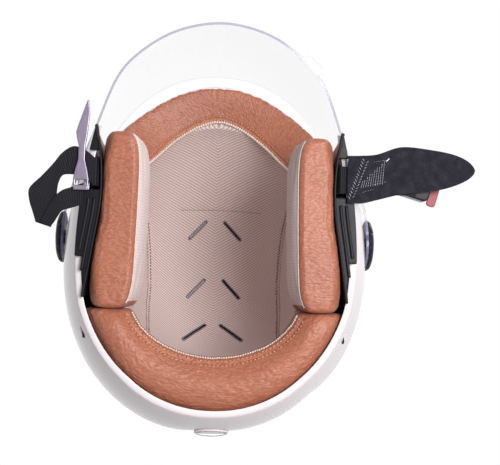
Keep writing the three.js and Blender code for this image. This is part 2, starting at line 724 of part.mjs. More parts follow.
function pivotScrew() {
  const headBase = pivot.capHeight - pivot.screwHeadHeight - 0.4 + seatGap;
  const tipAt = pivot.seatX - pivot.bossDepth - pivot.nutThickness - 1.5 - capX;
  const headTop = headBase + pivot.screwHeadHeight;
  const chamfer = 0.7;
  const [shank, head] = [pivot.screwRadius, pivot.screwHeadRadius];
  const screw = turned([
    [0, tipAt], [shank - chamfer, tipAt], [shank, tipAt + chamfer], [shank, headBase],
    [head, headBase], [head, headTop - chamfer], [head - chamfer, headTop], [0, headTop],
  ], capX, 16);
  const slotX = capX + headTop - 1;
  return cut(screw, block(slotX, slotX + 3, pivot.y - head, pivot.y + head, pivot.z - 0.6, pivot.z + 0.6));
}

function pivotWasher() {
  const bore = pivot.sleeveRadius + seatGap;
  const from = pivot.seatX + seatGap;
  const thickness = pivot.washerThickness;
  const rim = pivot.washerRadius;
  return turned([[bore, 0], [rim, 0], [rim, thickness], [bore, thickness], [bore, 0]], from, 24);
}

function pivotNut() {
  const from = pivot.seatX - pivot.bossDepth - seatGap - pivot.nutThickness;
  const { nutRadius, nutThickness } = pivot;
  const plate = turned([[0, 0], [nutRadius, 0], [nutRadius, nutThickness], [0, nutThickness]], from, 6);
  return cut(plate, barX(pivot.screwRadius + seatGap, from - 1, from + 9, pivot.y, pivot.z, 16));
}

// Chin strap anchor on the wearer's left: a steel plate riveted through the shell
const plateX = Math.min(
  eggHalfWidth(shellEgg, wall, strap.y - anchor.plateLength / 2, anchor.z - anchor.plateHeight / 2),
  eggHalfWidth(shellEgg, wall, strap.y + anchor.plateLength / 2, anchor.z - anchor.plateHeight / 2),
) - seatGap - facetSag;
function anchorPlate() {
  const [long, high] = [anchor.plateLength / 2, anchor.plateHeight / 2];
  const plate = block(
    plateX - anchor.plateThickness, plateX, strap.y - long, strap.y + long, anchor.z - high, anchor.z + high);
  return cut(plate, barX(anchor.rivetRadius + seatGap, plateX - 5, plateX + 5, strap.y, anchor.z, 16));
}

function anchorRivet() {
  const r = anchor.rivetHeadRadius;
  const h = anchor.rivetHeadHeight;
  const outerX = eggHalfWidth(shellEgg, 0, strap.y + r, anchor.z + r) + seatGap;
  const innerX = plateX - anchor.plateThickness - strap.thickness - 3 * seatGap;
  const shank = barX(anchor.rivetRadius, innerX - 0.2, outerX + 0.2, strap.y, anchor.z, 14);
  const dome = [[0, 0], [r, 0], [r * 0.94, h * 0.45], [r * 0.7, h * 0.85], [0, h]];
  const head = new THREE.LatheGeometry(dome.map(([a, b]) => new THREE.Vector2(a, b)), 16);
  const outerHead = solid(head.clone().rotateZ(-Math.PI / 2).translate(outerX, strap.y, anchor.z));
  const innerHead = solid(head.clone().rotateZ(Math.PI / 2).translate(innerX, strap.y, anchor.z));
  return join(shank, outerHead, innerHead);
}

// The strap's fixed run, from under the anchor plate down to the rim
function strapInner() {
  const top = anchor.z + anchor.plateHeight / 2;
  const plateSide = plateX - anchor.plateThickness - seatGap - strap.thickness / 2;
  const route = new THREE.CatmullRomCurve3([
    new THREE.Vector3(plateSide, 0, top),
    new THREE.Vector3(plateSide, 0, anchor.z - 2),
    new THREE.Vector3(plateSide - 0.6, 0, anchor.z - 13),
    new THREE.Vector3(strapHingeX - 0.4, 0, 16),
    new THREE.Vector3(strapHingeX, 0, strap.hingeZ + 1.6),
  ]);
  const steps = 12;
  const rings = [];
  for (let s = 0; s <= steps; s++) {
    const p = route.getPoint(s / steps);
    const t = route.getTangent(s / steps);
    const across = new THREE.Vector3(t.z, 0, -t.x).multiplyScalar(strap.thickness / 2);
    const half = strap.width / 2;
    rings.push([
      p.clone().add(across).setY(strap.y - half), p.clone().add(across).setY(strap.y + half),
      p.clone().sub(across).setY(strap.y + half), p.clone().sub(across).setY(strap.y - half),
    ]);
  }
  const hole = barX(anchor.rivetRadius + seatGap, plateSide - 9, plateSide + 9, strap.y, anchor.z, 14);
  return cut(loft(rings), hole);
}

// Left strap, lying outward: felt chin pad, webbing on its back, and the quick release buckle. Its
// outline is measured from the hinge, outward and to the rear
const webBottom = felt.bottom + felt.thickness + seatGap;
const feltEdge = [
  [26, -19.2], [44, -25.3], [64, -24.4], [85, -20.8], [98.6, -12.6],
  [97, -5.6], [74, 5.2], [46, 9.2], [28, 14], [5.5, 17.2],
];
function chinPad() {
  const shape = new THREE.Shape();
  shape.moveTo(strapHingeX + feltEdge.at(-1)[0], strap.y - feltEdge.at(-1)[1]);
  shape.splineThru(feltEdge.map(([out, back]) => new THREE.Vector2(strapHingeX + out, strap.y + back)));
  const body = new THREE.ExtrudeGeometry(shape, {
    depth: felt.thickness - 2 * felt.bevel, bevelThickness: felt.bevel, bevelSize: felt.bevel,
    bevelOffset: -felt.bevel, bevelSegments: 1, curveSegments: 3,
  });
  return solid(body.translate(0, 0, felt.bottom + felt.bevel));
}

function strapWebbing() {
  const half = strap.width / 2;
  const corner = 4;
  const rootX = strapHingeX + strap.thickness;
  const endX = buckle.x + corner;
  const shape = new THREE.Shape();
  shape.moveTo(rootX, strap.y - half);
  shape.lineTo(endX - corner, strap.y - half);
  shape.quadraticCurveTo(endX, strap.y - half, endX, strap.y - half + corner);
  shape.lineTo(endX, strap.y + half - corner);
  shape.quadraticCurveTo(endX, strap.y + half, endX - corner, strap.y + half);
  shape.lineTo(rootX, strap.y + half);
  return planExtrude(shape, webBottom, webBottom + strap.thickness, 4);
}

// The buckle's own frame has +X towards the free end and z = 0 on the webbing
const buckleBase = webBottom + strap.thickness + seatGap;
const leverPin = { x: -7, z: 8.7 };
const spring = { wireRadius: 0.3, turns: 4, pitch: 1.15, halfNotch: 2.9 };
function roundedPlan(length, width, radius) {
  const x = length / 2;
  const y = width / 2;
  const shape = new THREE.Shape();
  shape.moveTo(-x + radius, -y);
  shape.lineTo(x - radius, -y);
  shape.absarc(x - radius, -y + radius, radius, -Math.PI / 2, 0);
  shape.lineTo(x, y - radius);
  shape.absarc(x - radius, y - radius, radius, 0, Math.PI / 2);
  shape.lineTo(-x + radius, y);
  shape.absarc(-x + radius, y - radius, radius, Math.PI / 2, Math.PI);
  shape.lineTo(-x, -y + radius);
  shape.absarc(-x + radius, -y + radius, radius, Math.PI, 1.5 * Math.PI);
  return shape;
}

function barY(radius, fromY, toY, x, z, segments = 18) {
  const bar = new THREE.CylinderGeometry(radius, radius, toY - fromY, segments);
  return solid(bar.translate(x, (fromY + toY) / 2, z));
}

function buckleHousing() {
  const { length, width, height, wall: side, slotHeight } = buckle;
  const chamfer = 1.2;
  const body = new THREE.ExtrudeGeometry(roundedPlan(length - 2 * chamfer, width - 2 * chamfer, 3), {
    depth: height - 2 * chamfer, bevelThickness: chamfer, bevelSize: chamfer, bevelSegments: 2,
    curveSegments: 4,
  });
  const shell = solid(body.translate(0, 0, chamfer));
  const clearWidth = buckle.leverWidth / 2 + 0.6;
  const slot = block(-length / 2 + 5, length / 2 + 2, -clearWidth, clearWidth, side, side + slotHeight);
  const wellFloor = side + slotHeight - 0.5;
  const well = block(leverPin.x - 4.4, length / 2 + 2, -clearWidth, clearWidth, wellFloor, height + 2);
  const pinHole = barY(buckle.pinRadius + seatGap, -width, width, leverPin.x, leverPin.z);
  return cut(shell, slot, well, pinHole);
}

function leverPinSolid() {
  return barY(buckle.pinRadius, -buckle.width / 2 + 0.6, buckle.width / 2 - 0.6, leverPin.x, leverPin.z);
}

// The red release lever: it turns on the pin, and the pawl teeth under it hold the tongue's teeth
function releaseLever() {
  const half = buckle.leverWidth / 2;
  const { x, z } = leverPin;
  const outline = new THREE.Shape();
  outline.moveTo(x - 3.2, z);
  outline.quadraticCurveTo(x - 3, z - 2, x, z - 2);
  outline.lineTo(x + 5.4, z - 1.8);
  for (const tooth of [6.2, 8.2]) {
    outline.lineTo(x + tooth, z - 3.6);
    outline.lineTo(x + tooth + 1.2, z - 1.8);
  }
  outline.lineTo(x + 20, z - 1.3);
  outline.quadraticCurveTo(x + 24, z - 0.8, x + 24.4, z + 0.8);
  outline.lineTo(x + 22, z + 1.2);
  outline.quadraticCurveTo(x + 10, z + 3, x, z + 3);
  outline.quadraticCurveTo(x - 3.2, z + 3, x - 3.2, z);
  const body = new THREE.ExtrudeGeometry(outline, { depth: 2 * half, bevelEnabled: false, curveSegments: 4 });
  body.rotateX(Math.PI / 2).translate(0, half, 0);
  const tabX = buckle.length / 2 + 4.2;
  const tab = planExtrude(roundedPlan(7, buckle.width + 2, 2.5), z - 0.7, z + 1.1, 4).translate([tabX, 0, 0]);
  const notch = block(x - 4, x + 3, -spring.halfNotch, spring.halfNotch, z - 4, z + 4);
  return cut(join(solid(body), tab), notch, barY(buckle.pinRadius + seatGap, -half - 1, half + 1, x, z));
}

// Torsion spring round the pin, in the lever's notch: one unbroken wire
function leverSpring() {
  const coil = buckle.pinRadius + seatGap + spring.wireRadius;
  const stepsPerTurn = 8;
  const steps = spring.turns * stepsPerTurn;
  const centreLine = [];
  const rings = [];
  for (let s = 0; s <= steps; s++) {
    const turn = (s / stepsPerTurn) * 2 * Math.PI;
    const out = new THREE.Vector3(Math.cos(turn), 0, Math.sin(turn));
    const along = (s / stepsPerTurn - spring.turns / 2) * spring.pitch;
    const centre = new THREE.Vector3(leverPin.x, along, leverPin.z).addScaledVector(out, coil);
    centreLine.push(centre);
    rings.push(Array.from({ length: 5 }, (_, i) => {
      const angle = (i / 5) * 2 * Math.PI;
      return centre.clone().addScaledVector(out, spring.wireRadius * Math.cos(angle))
        .add(new THREE.Vector3(0, spring.wireRadius * Math.sin(angle), 0));
    }));
  }
  let least = Infinity;
  for (let a = 0; a <= steps; a++) {
    for (let b = a + stepsPerTurn / 2; b <= steps; b++) {
      least = Math.min(least, centreLine[a].distanceTo(centreLine[b]) - 2 * spring.wireRadius);
    }
  }
  console.log(`lever spring: least gap between turns ${least.toFixed(2)} mm`);
  return loft(rings);
}

// Right strap, lying outward: a loop of webbing, measured like the chin pad, whose end carries the
// ratchet tongue. It lies on the table and rises over the tongue to the hinge
const loopFront = [
  [9, -15.5], [17.5, -18], [25.5, -13], [31.5, -5], [39.5, 4.5], [48, 14], [45, 29], [42, 38],
];
function loopWebbing() {
  const half = strap.width / 2;
  const place = ([out, back]) => new THREE.Vector2(-strapHingeX - out, strap.y + back);
  const shape = new THREE.Shape();
  const line = (...p) => shape.lineTo(...place(p));
  const curve = (...p) => shape.quadraticCurveTo(...place(p.slice(0, 2)), ...place(p.slice(2)));
  shape.moveTo(...place([strap.thickness, -half]));
  shape.splineThru(loopFront.map(place));
  line(32, 41.8);
  curve(28.9, 41.4, 27.7, 37.4);
  line(25.1, 30);
  line(12.5, 25.6);
  line(12.5, 9.7);
  line(24.1, 14.5);
  curve(28, 13.5, 26.9, 8.5);
  curve(24.5, 3.5, 18.5, 2.6);
  curve(9, 4, strap.thickness, half);
  const depth = strap.thickness;
  const flat = new THREE.ExtrudeGeometry(shape, { depth, bevelEnabled: false, curveSegments: 4 });
  const places = flat.attributes.position;
  for (let i = 0; i < places.count; i++) {
    const out = -strapHingeX - places.getX(i);
    places.setZ(i, places.getZ(i) + mix(webBottom, felt.bottom, smooth(22, 40, out)));
  }
  return solid(flat);
}

// Ratchet tongue: a slotted end for the webbing, a waist and a toothed blade with a slanted point. Each
// side is given by its distances along the tongue and out from its centre line, the inner side first
const tongueSides = [
  [[0, 5.2], [8, 5.6], [15, 4.2], [22, 2.4], [33, 2.4], [38, 3.2], [44, 3.9], [56, 4.8], [66, 3.8]],
  [[0, 5.2], [8, 5.6], [15, 4.2], [22, 2.4], [32, 2.4], [37, 3.8], [42, 4.6], [48, 3], [65, -2.6]],
];
function ratchetTongue() {
  const { x, endY, bottom, thickness, slotWidth, teeth, firstTooth, toothPitch, toothDepth } = tongue;
  const side = (points, sign) =>
    points.map(([along, out]) => new THREE.Vector2(x + sign * out, endY - along));
  const [inner, outer] = tongueSides;
  const top = bottom + thickness;
  let body = planExtrude(new THREE.Shape([...side(inner, 1), ...side(outer, -1).reverse()]), bottom, top);
  const slotHalf = slotWidth / 2;
  body = cut(body, block(x - slotHalf, x + slotHalf, endY - 7.5, endY - 3.5, bottom - 1, top + 1));
  for (let i = 0; i < teeth; i++) {
    const y = endY - firstTooth - i * toothPitch;
    const notch = new THREE.Shape();
    notch.moveTo(y, top - toothDepth);
    notch.lineTo(y - toothPitch * 0.8, top + 0.6);
    notch.lineTo(y + 0.25, top + 0.6);
    body = cut(body, sideExtrude(notch, x - 8, x + 8));
  }
  return body;
}

// Trim pieces on the shell
function sideVentGrommet() {
  const outer = eggHalfWidth(shellEgg, 0, sideVent.y + 4, sideVent.z);
  const oval = (long, high, fromX, toX) => barX(1, fromX, toX, 0, 0, 20)
    .scale([1, long / 2, high / 2]).translate([0, sideVent.y, sideVent.z]);
  const { length, height, lip } = sideVent;
  const body = oval(length - 2 * seatGap, height - 2 * seatGap, outer - 7, outer + lip);
  const bore = oval(length - 3.4, height - 2.4, outer - 9, outer + 9);
  return cut(body, bore, eggSolid(shellEgg, wall, ...facets.shellInside));
}

function rearBadge() {
  const layer = cut(
    eggSolid(shellEgg, -badge.thickness - seatGap, 96, 16), eggSolid(shellEgg, -seatGap, 96, 16));
  const oval = new THREE.CylinderGeometry(1, 1, 60, 32).scale(badge.halfWidth, 1, badge.halfHeight);
  return layer.intersect(solid(oval.translate(0, shellEgg.girthY + shellEgg.rearReach, badge.height)));
}

// The assembly
const helmet = new THREE.Group();
function add(parent, name, body, material, side = 1) {
  const mesh = new THREE.Mesh(geometryOf(body, side), material);
  mesh.name = name;
  parent.add(mesh);
  return mesh;
}

add(helmet, 'outer_shell', outerShell(), paint);
add(helmet, 'eps_liner', epsLiner(), foam);
add(helmet, 'crown_liner', crownLiner(), knit);
add(helmet, 'brow_roll', browRollSolid(), leather);
add(helmet, 'neck_roll', neckRollSolid(), leather);
add(helmet, 'visor_lens', visorLens(), clear);
add(helmet, 'rear_badge', rearBadge(), paint);

const paired = [
  ['cheek_pad', cheekPad(), leather],
  ['cheek_pad_base', cheekBase(), foam],
  ['cheek_snap_strip', snapStrip(), blackPlastic],
  ['side_trim', sideTrim(), blackPlastic],
  ['pivot_cap', pivotCap(), blackPlastic],
  ['pivot_screw', pivotScrew(), steel],
  ['pivot_washer', pivotWasher(), blackPlastic],
  ['pivot_nut', pivotNut(), steel],
  ['strap_anchor_plate', anchorPlate(), steel],
  ['strap_rivet', anchorRivet(), steel],
  ['strap_inner', strapInner(), webbing],
  ['side_vent', sideVentGrommet(), blackPlastic],
];
for (const [name, body, material] of paired) {
  add(helmet, `${name}_left`, body, material, 1);
  add(helmet, `${name}_right`, body, material, -1);
}

add(helmet, 'chin_pad', chinPad(), feltCloth);
add(helmet, 'strap_webbing_left', strapWebbing(), webbing);
const buckleGroup = new THREE.Group();
buckleGroup.position.set(buckle.x, buckle.y, buckleBase);
buckleGroup.rotation.z = degrees(buckle.turn);
helmet.add(buckleGroup);
add(buckleGroup, 'buckle_housing', buckleHousing(), blackPlastic);
add(buckleGroup, 'lever_pin', leverPinSolid(), steel);
add(buckleGroup, 'lever_spring', leverSpring(), steel);
add(buckleGroup, 'release_lever', releaseLever(), redPlastic);
add(helmet, 'strap_webbing_right', loopWebbing(), webbing);
add(helmet, 'ratchet_tongue', ratchetTongue(), steel);

export default helmet;
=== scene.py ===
# %% [markdown]
# # An open face motorcycle helmet, seen from below
# The helmet stands on its padding, with the face looking along -Y and the wearer's left at +X.
# The camera looks up into the opening, because that is where its work shows: leather rolls,
# a knitted crown, ribbed trims and the two halves of the chin strap. The solids of the packed
# model are the frame. Each visible piece is dressed or made anew around them, in metres.

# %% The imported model, as a fixed frame
import math
from functools import partial

import bpy
import numpy as np
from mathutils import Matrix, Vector
from mathutils.bvhtree import BVHTree
from mathutils.kdtree import KDTree


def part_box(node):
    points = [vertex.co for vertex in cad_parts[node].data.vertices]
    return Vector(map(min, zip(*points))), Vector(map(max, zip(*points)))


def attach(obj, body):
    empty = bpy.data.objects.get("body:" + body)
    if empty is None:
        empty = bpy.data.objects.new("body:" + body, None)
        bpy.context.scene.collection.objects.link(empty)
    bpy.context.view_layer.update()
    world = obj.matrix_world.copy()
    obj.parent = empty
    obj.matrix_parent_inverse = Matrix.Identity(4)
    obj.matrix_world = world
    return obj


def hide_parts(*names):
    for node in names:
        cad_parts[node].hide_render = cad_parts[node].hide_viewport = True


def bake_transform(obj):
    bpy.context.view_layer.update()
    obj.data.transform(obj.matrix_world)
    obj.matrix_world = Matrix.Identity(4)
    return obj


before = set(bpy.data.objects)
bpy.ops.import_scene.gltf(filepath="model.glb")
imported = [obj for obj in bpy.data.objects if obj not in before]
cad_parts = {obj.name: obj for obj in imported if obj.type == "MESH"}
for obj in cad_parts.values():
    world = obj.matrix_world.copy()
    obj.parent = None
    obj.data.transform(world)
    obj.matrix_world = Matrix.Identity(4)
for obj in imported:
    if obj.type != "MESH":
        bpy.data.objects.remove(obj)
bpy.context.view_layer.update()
MM = 0.001

# %% [markdown]
# ## Camera
# The photograph looks up along the helmet's own axis, a little from the front. The place, turn and
# lens below came from fitting known points of the shell to where the photograph shows them.

# %% The camera
CAMERA_PLACE = (-8.78, 42.72, -602.37)
CAMERA_TURN = (-176.695, 3.142, -1.606)
LENS = 60.139


def deselect():
    """Leaves edit mode and selects nothing, so that an operator acts only on what comes next."""
    if bpy.context.object and bpy.context.object.mode != "OBJECT":
        bpy.ops.object.mode_set(mode="OBJECT")
    bpy.ops.object.select_all(action="DESELECT")


deselect()
bpy.ops.object.camera_add(
    location=[c * MM for c in CAMERA_PLACE], rotation=[math.radians(a) for a in CAMERA_TURN]
)
camera = bpy.context.object
camera.name = "camera"
camera.data.lens = LENS
camera.data.clip_start = 0.01
bpy.context.scene.camera = camera
bpy.context.scene.view_settings.view_transform = "Standard"
print("camera", [round(c, 3) for c in camera.location])

# %% [markdown]
# ## Colours and nodes
# A colour picked from a photograph is an sRGB hex value, but a shader computes in linear light, so one
# function turns it. Another adds a node with its settings and links, which keeps each material a short
# list of what feeds what.

# %% Helpers for materials


def linear(code):
    """An sRGB hex value such as "#C07A5C" as linear red, green, blue and alpha."""
    parts = [int(code[i : i + 2], 16) / 255 for i in (1, 3, 5)]
    return [c / 12.92 if c <= 0.04045 else ((c + 0.055) / 1.055) ** 2.4 for c in parts] + [1.0]


def add_node(tree, kind, *values, out=None, stops=(), **named):
    """
    Adds a node and gives one of its outputs, the first if none is named. Values go to its inputs in
    order. A named value goes to the input of that name, or is a setting where the name has no capital. A
    value is another node's output, a number, a vector or a hex colour. Stops are those of a colour ramp.
    """
    node = tree.nodes.new("ShaderNode" + kind)
    for key in [key for key in named if key.islower()]:
        setattr(node, key, named.pop(key))
    fed = list(zip([socket for socket in node.inputs if socket.enabled], values))
    fed += [(node.inputs[key.replace("_", " ")], value) for key, value in named.items()]
    for socket, value in fed:
        if isinstance(value, bpy.types.NodeSocket):
            tree.links.new(value, socket)
        else:
            socket.default_value = linear(value) if isinstance(value, str) else value
    for number, (place, code) in enumerate(stops):
        elements = node.color_ramp.elements
        element = elements[number] if number < len(elements) else elements.new(place)
        element.position = place
        element.color = linear(code)
    return node.outputs[out] if out else next((s for s in node.outputs if s.enabled), None)


def new_material(name):
    """An empty material, and the function that adds a node to it."""
    material = bpy.data.materials.new(name)
    material.use_nodes = True
    material.node_tree.nodes.clear()
    return material, partial(add_node, material.node_tree)


def wave(add, run, pitch):
    """A sine over a run in millimetres, with one repeat for each pitch."""
    return add("Math", add("Math", run, 2 * math.pi / pitch, operation="MULTIPLY"), operation="SINE")


def finish(add, colour, bump=None, depth=0.2, strength=1.0, **inputs):
    """The principled shader of a finish. Depth is the bump's height in millimetres."""
    if bump is not None:
        inputs["Normal"] = add("Bump", Strength=strength, Distance=depth * MM, Height=bump)
    add("OutputMaterial", Surface=add("BsdfPrincipled", Base_Color=colour, **inputs))


# %% [markdown]
# ## Finishes
# Each finish starts from what the real one is. Texture coordinates are in metres on the object, so a
# scale of 1 / (size * MM) gives a pattern one repeat for each size in millimetres. The lay and the UV
# map are in millimetres already.

# %% Lacquer and foam


def pearl_lacquer():
    """Off-white base coat with fine pearl under clear lacquer: soft colour, sharp reflections."""
    material, add = new_material("pearl_lacquer")
    place = add("TexCoord", out="Object")
    cloud = add("TexNoise", place, Scale=1 / (71.4 * MM), Detail=2.0)
    pearl = add("TexNoise", place, Scale=1 / (1.11 * MM), Detail=1.0)
    peel = add("TexNoise", place, Scale=1 / (3.85 * MM), Detail=1.0)
    base = add("ValToRGB", cloud, stops=((0.3, "#E6DCDF"), (0.7, "#ECE3E5")))
    share = add("Math", pearl, 0.12, operation="MULTIPLY")
    colour = add("Mix", share, base, "#E0D3DA", data_type="RGBA")
    finish(add, colour, peel, 0.02, Roughness=0.34, IOR=1.5, Coat_Weight=0.7, Coat_Roughness=0.08)
    return material


def expanded_foam():
    """Black polystyrene beads fused in a mould: matt, with the beads just showing."""
    material, add = new_material("expanded_foam")
    place = add("TexCoord", out="Object")
    cells = add("TexVoronoi", place, feature="DISTANCE_TO_EDGE", Scale=1 / (3.125 * MM))
    colour = add("ValToRGB", cells, stops=((0.0, "#17161A"), (0.25, "#2A292D")))
    finish(add, colour, cells, 0.3, Roughness=0.85)
    return material


# %% [markdown]
# The leather is a soft full grain hide, drum dyed tan. What the eye reads is not flat colour but
# pebbles, drawn out across the pull of the padding. Their creases are painted darker, as painted shade,
# and their tops paler. So each leather piece carries a "lay" attribute, its own coordinates in
# millimetres along and across the grain, and one material serves all of them.

# %% Grained leather
GRAIN = 1.35  # pebble length in millimetres, a little coarser than life so that it shows


def grained_leather():
    """Full grain hide: creased pebbles with pores, and a dye that varies softly."""
    material, add = new_material("grained_leather")
    lay = add("Attribute", out="Vector", attribute_name="lay")
    place = add("TexCoord", out="Object")
    drift = add("TexNoise", lay, out="Color", Scale=1 / 11.1, Detail=2.0)
    bent = add("VectorMath", drift, (5, 5, 5), lay, operation="MULTIPLY_ADD")
    drawn_out = add("Mapping", bent, Scale=(1.0, 0.42, 1.0))
    wrinkle = add("TexNoise", drawn_out, Scale=1 / GRAIN, Detail=3.0, Roughness=0.55, Distortion=0.35)
    pebble = add("TexVoronoi", drawn_out, feature="SMOOTH_F1", Scale=1 / GRAIN, Smoothness=0.35)
    pores = add("TexNoise", place, Scale=1 / (0.714 * MM), Detail=1.0)
    sharp = add("MapRange", wrinkle, 0.36, 0.64, 0.0, 1.0)
    height = add("Math", pores, 0.12, operation="MULTIPLY")
    height = add("Math", sharp, 0.22, height, operation="MULTIPLY_ADD")
    height = add("Math", pebble, -0.95, height, operation="MULTIPLY_ADD")
    dye = add("TexNoise", place, Scale=1 / (45.5 * MM), Detail=3.0)
    base = add("ValToRGB", dye, stops=((0.25, "#A26149"), (0.5, "#AB674E"), (0.78, "#B37056")))
    # Painted shade: the colour is darker in the grain's creases, by the bump's height, and paler on its tops
    crease_shade_mask = add("MapRange", height, -0.6, -0.05, 0.0, 1.0)
    dark = add("Mix", 0.3, base, "#7E3F2C", data_type="RGBA")
    pale = add("Mix", 0.08, base, "#E2A88C", data_type="RGBA")
    colour = add("Mix", crease_shade_mask, dark, pale, data_type="RGBA")
    finish(add, colour, height, 0.34, 0.9, Roughness=0.44, IOR=1.48, Sheen_Weight=0.05)
    return material


# %% [markdown]
# The lining is a beige warp knit over thin foam. On the crown its ribs run diagonally and meet in a
# herringbone on the middle line, so its pattern follows the piece's UV map, which is in millimetres
# measured over the dome. The cheek pads' inner faces have the same yarn in plain upright wales.

# %% Knitted lining
RIB_PITCH = 2.2
ACROSS_RIBS = (0.5, 0.87)  # aside and to the rear, so that the ribs lean by 30 degrees
# Yarn colours along the relief's height: the dark stops are painted shade, the pale ones painted light
YARN_RELIEF_SHADE = {
    True: ((0.1, "#AD938F"), (0.55, "#D2BBB7"), (0.9, "#EAD9D5")),
    False: ((0.1, "#D8C5C2"), (0.55, "#DECCCA"), (0.9, "#E4D4D2")),
}
RELIEF = {True: (0.4, 0.8), False: (0.12, 0.3)}  # depth in millimetres and strength of the bump


def knit(name, herringbone):
    """Warp knit: ribs of small staggered loops, matt and a little fuzzy."""
    material, add = new_material(name)
    place = add("TexCoord", out="Object")
    x, y, z = add("SeparateXYZ", add("UVMap") if herringbone else place).node.outputs
    if herringbone:
        cosine, sine = ACROSS_RIBS
        aside = add("Math", x, operation="ABSOLUTE")
        across = add("Math", y, sine, operation="MULTIPLY")
        across = add("Math", aside, cosine, across, operation="MULTIPLY_ADD")
        along = add("Math", y, -cosine, operation="MULTIPLY")
        along = add("Math", aside, sine, along, operation="MULTIPLY_ADD")
    else:
        across, along = (add("Math", c, 1 / MM, operation="MULTIPLY") for c in (y, z))
    rib = wave(add, across, RIB_PITCH)
    stagger = add("Math", add("Math", across, RIB_PITCH, operation="DIVIDE"), operation="FLOOR")
    shifted = add("Math", stagger, 0.5 * RIB_PITCH, along, operation="MULTIPLY_ADD")
    loop = wave(add, shifted, 0.8 * RIB_PITCH)
    fuzz = add("TexNoise", place, Scale=1 / (0.667 * MM), Detail=2.0)
    height = add("Math", loop, 0.14, operation="MULTIPLY")
    height = add("Math", rib, 0.3, height, operation="MULTIPLY_ADD")
    height = add("Math", fuzz, 0.25, height, operation="MULTIPLY_ADD")
    # The colour follows the relief: painted shade in the grooves between loops, painted light on their tops
    relief_shade = add("MapRange", height, -0.3, 0.5, 0.0, 1.0)
    yarn = add("ValToRGB", relief_shade, stops=YARN_RELIEF_SHADE[herringbone])
    cloud = add("TexNoise", place, Scale=1 / (55.6 * MM), Detail=2.0)
    share = add("Math", cloud, 0.2, operation="MULTIPLY")
    colour = add("Mix", share, yarn, "#BBA39F", data_type="RGBA")
    depth, strength = RELIEF[herringbone]
    finish(
        add, colour, height, depth, strength, Roughness=0.9, Sheen_Weight=0.25, Sheen_Roughness=0.5
    )
    return material


# %% Thread


def thread(name, dark_code, highlight_code):
    """Bonded polyester thread, with a faint gloss. Its colour runs from dark to a painted highlight
    along the ply noise that also bumps it.
    """
    material, add = new_material(name)
    ply = add("TexNoise", add("TexCoord", out="Object"), Scale=1 / (0.909 * MM), Detail=1.0)
    colour = add("ValToRGB", ply, stops=((0.35, dark_code), (0.65, highlight_code)))
    finish(add, colour, ply, 0.1, Roughness=0.45, Sheen_Weight=0.3)
    return material


# %% [markdown]
# The black parts are three different things: moulded plastic with a fine spark-eroded grain, woven
# webbing with ribs across it, and pressed felt with stray fibres.

# %% Moulded plastics


def moulded(name, code, pale_code, roughness, grain_depth):
    """A satin moulding. Its mould was etched, so it has a fine grain, and it is paler and a little
    rougher in soft random patches.
    """
    material, add = new_material(name)
    place = add("TexCoord", out="Object")
    grain = add("TexNoise", place, Scale=1 / (0.625 * MM), Detail=1.0)
    cloud = add("TexNoise", place, Scale=1 / (25 * MM), Detail=3.0)
    colour = add("ValToRGB", cloud, stops=((0.3, code), (0.75, pale_code)))
    gloss = add("MapRange", cloud, 0.3, 0.7, roughness - 0.05, roughness + 0.08)
    finish(add, colour, grain, grain_depth, 0.6, IOR=1.49, Specular_IOR_Level=0.18, Roughness=gloss)
    return material


# %% Webbing and felt
WEBBING_RIB, WARP_PITCH = 1.7, 1.1


def woven_webbing():
    """Polyester webbing: ribs across its length, each crossed by fine warp yarns."""
    material, add = new_material("woven_webbing")
    lay = add("Attribute", out="Vector", attribute_name="lay")
    along, across, _ = add("SeparateXYZ", lay).node.outputs
    fuzz = add("TexNoise", lay, Scale=1 / 0.4, Detail=2.0)
    height = add("Math", wave(add, across, WARP_PITCH), 0.18, operation="MULTIPLY")
    height = add("Math", wave(add, along, WEBBING_RIB), 0.32, height, operation="MULTIPLY_ADD")
    height = add("Math", fuzz, 0.3, height, operation="MULTIPLY_ADD")
    # The colour follows the weave's relief: painted shade in the grooves, painted light on the ribs
    relief_shade = add("MapRange", height, -0.3, 0.6, 0.0, 1.0)
    colour = add("ValToRGB", relief_shade, stops=((0.1, "#0E0D12"), (0.6, "#1B1A20"), (0.95, "#2A2931")))
    finish(
        add, colour, height, 0.35, 0.9,
        Roughness=0.62, Specular_IOR_Level=0.2, Sheen_Weight=0.12, Sheen_Roughness=0.4,
    )
    return material


def pressed_felt():
    """Needled felt: matted fibres of uneven grey, no weave."""
    material, add = new_material("pressed_felt")
    place = add("TexCoord", out="Object")
    fibres = add("TexNoise", place, Scale=1 / (0.8 * MM), Detail=3.0, Distortion=2.2)
    clumps = add("TexNoise", place, Scale=1 / (6.25 * MM), Detail=3.0)
    mixed = add("Math", fibres, 0.6, operation="MULTIPLY")
    mixed = add("Math", clumps, 0.4, mixed, operation="MULTIPLY_ADD")
    colour = add("ValToRGB", mixed, stops=((0.36, "#181720"), (0.52, "#24232D"), (0.66, "#383741")))
    finish(
        add, colour, mixed, 0.5, 0.8,
        Roughness=0.95, Specular_IOR_Level=0.1, Sheen_Weight=0.15, Sheen_Roughness=0.6,
    )
    return material


# %% Metals and clear sheet


def steel(name, code, roughness):
    """Zinc plated or polished steel, with faint wiping marks."""
    material, add = new_material(name)
    drawn_out = add("Mapping", add("TexCoord", out="Object"), Scale=(1.0, 0.08, 1.0))
    marks = add("TexNoise", drawn_out, Scale=1 / (0.556 * MM), Detail=2.0)
    gloss = add("MapRange", marks, 0.3, 0.7, roughness - 0.04, roughness + 0.08)
    finish(add, code, marks, 0.01, 0.4, Metallic=1.0, Roughness=gloss)
    return material


def clear_sheet(name, code, alpha, roughness=0.03):
    """Polycarbonate sheet. Its tint is so faint that it is drawn as a share of a see-through surface."""
    material, add = new_material(name)
    haze = add("TexNoise", add("TexCoord", out="Object"), Scale=1 / (33.3 * MM), Detail=2.0)
    gloss = add("MapRange", haze, 0.3, 0.7, roughness, roughness + 0.04)
    finish(add, code, IOR=1.58, Alpha=alpha, Roughness=gloss)
    return material


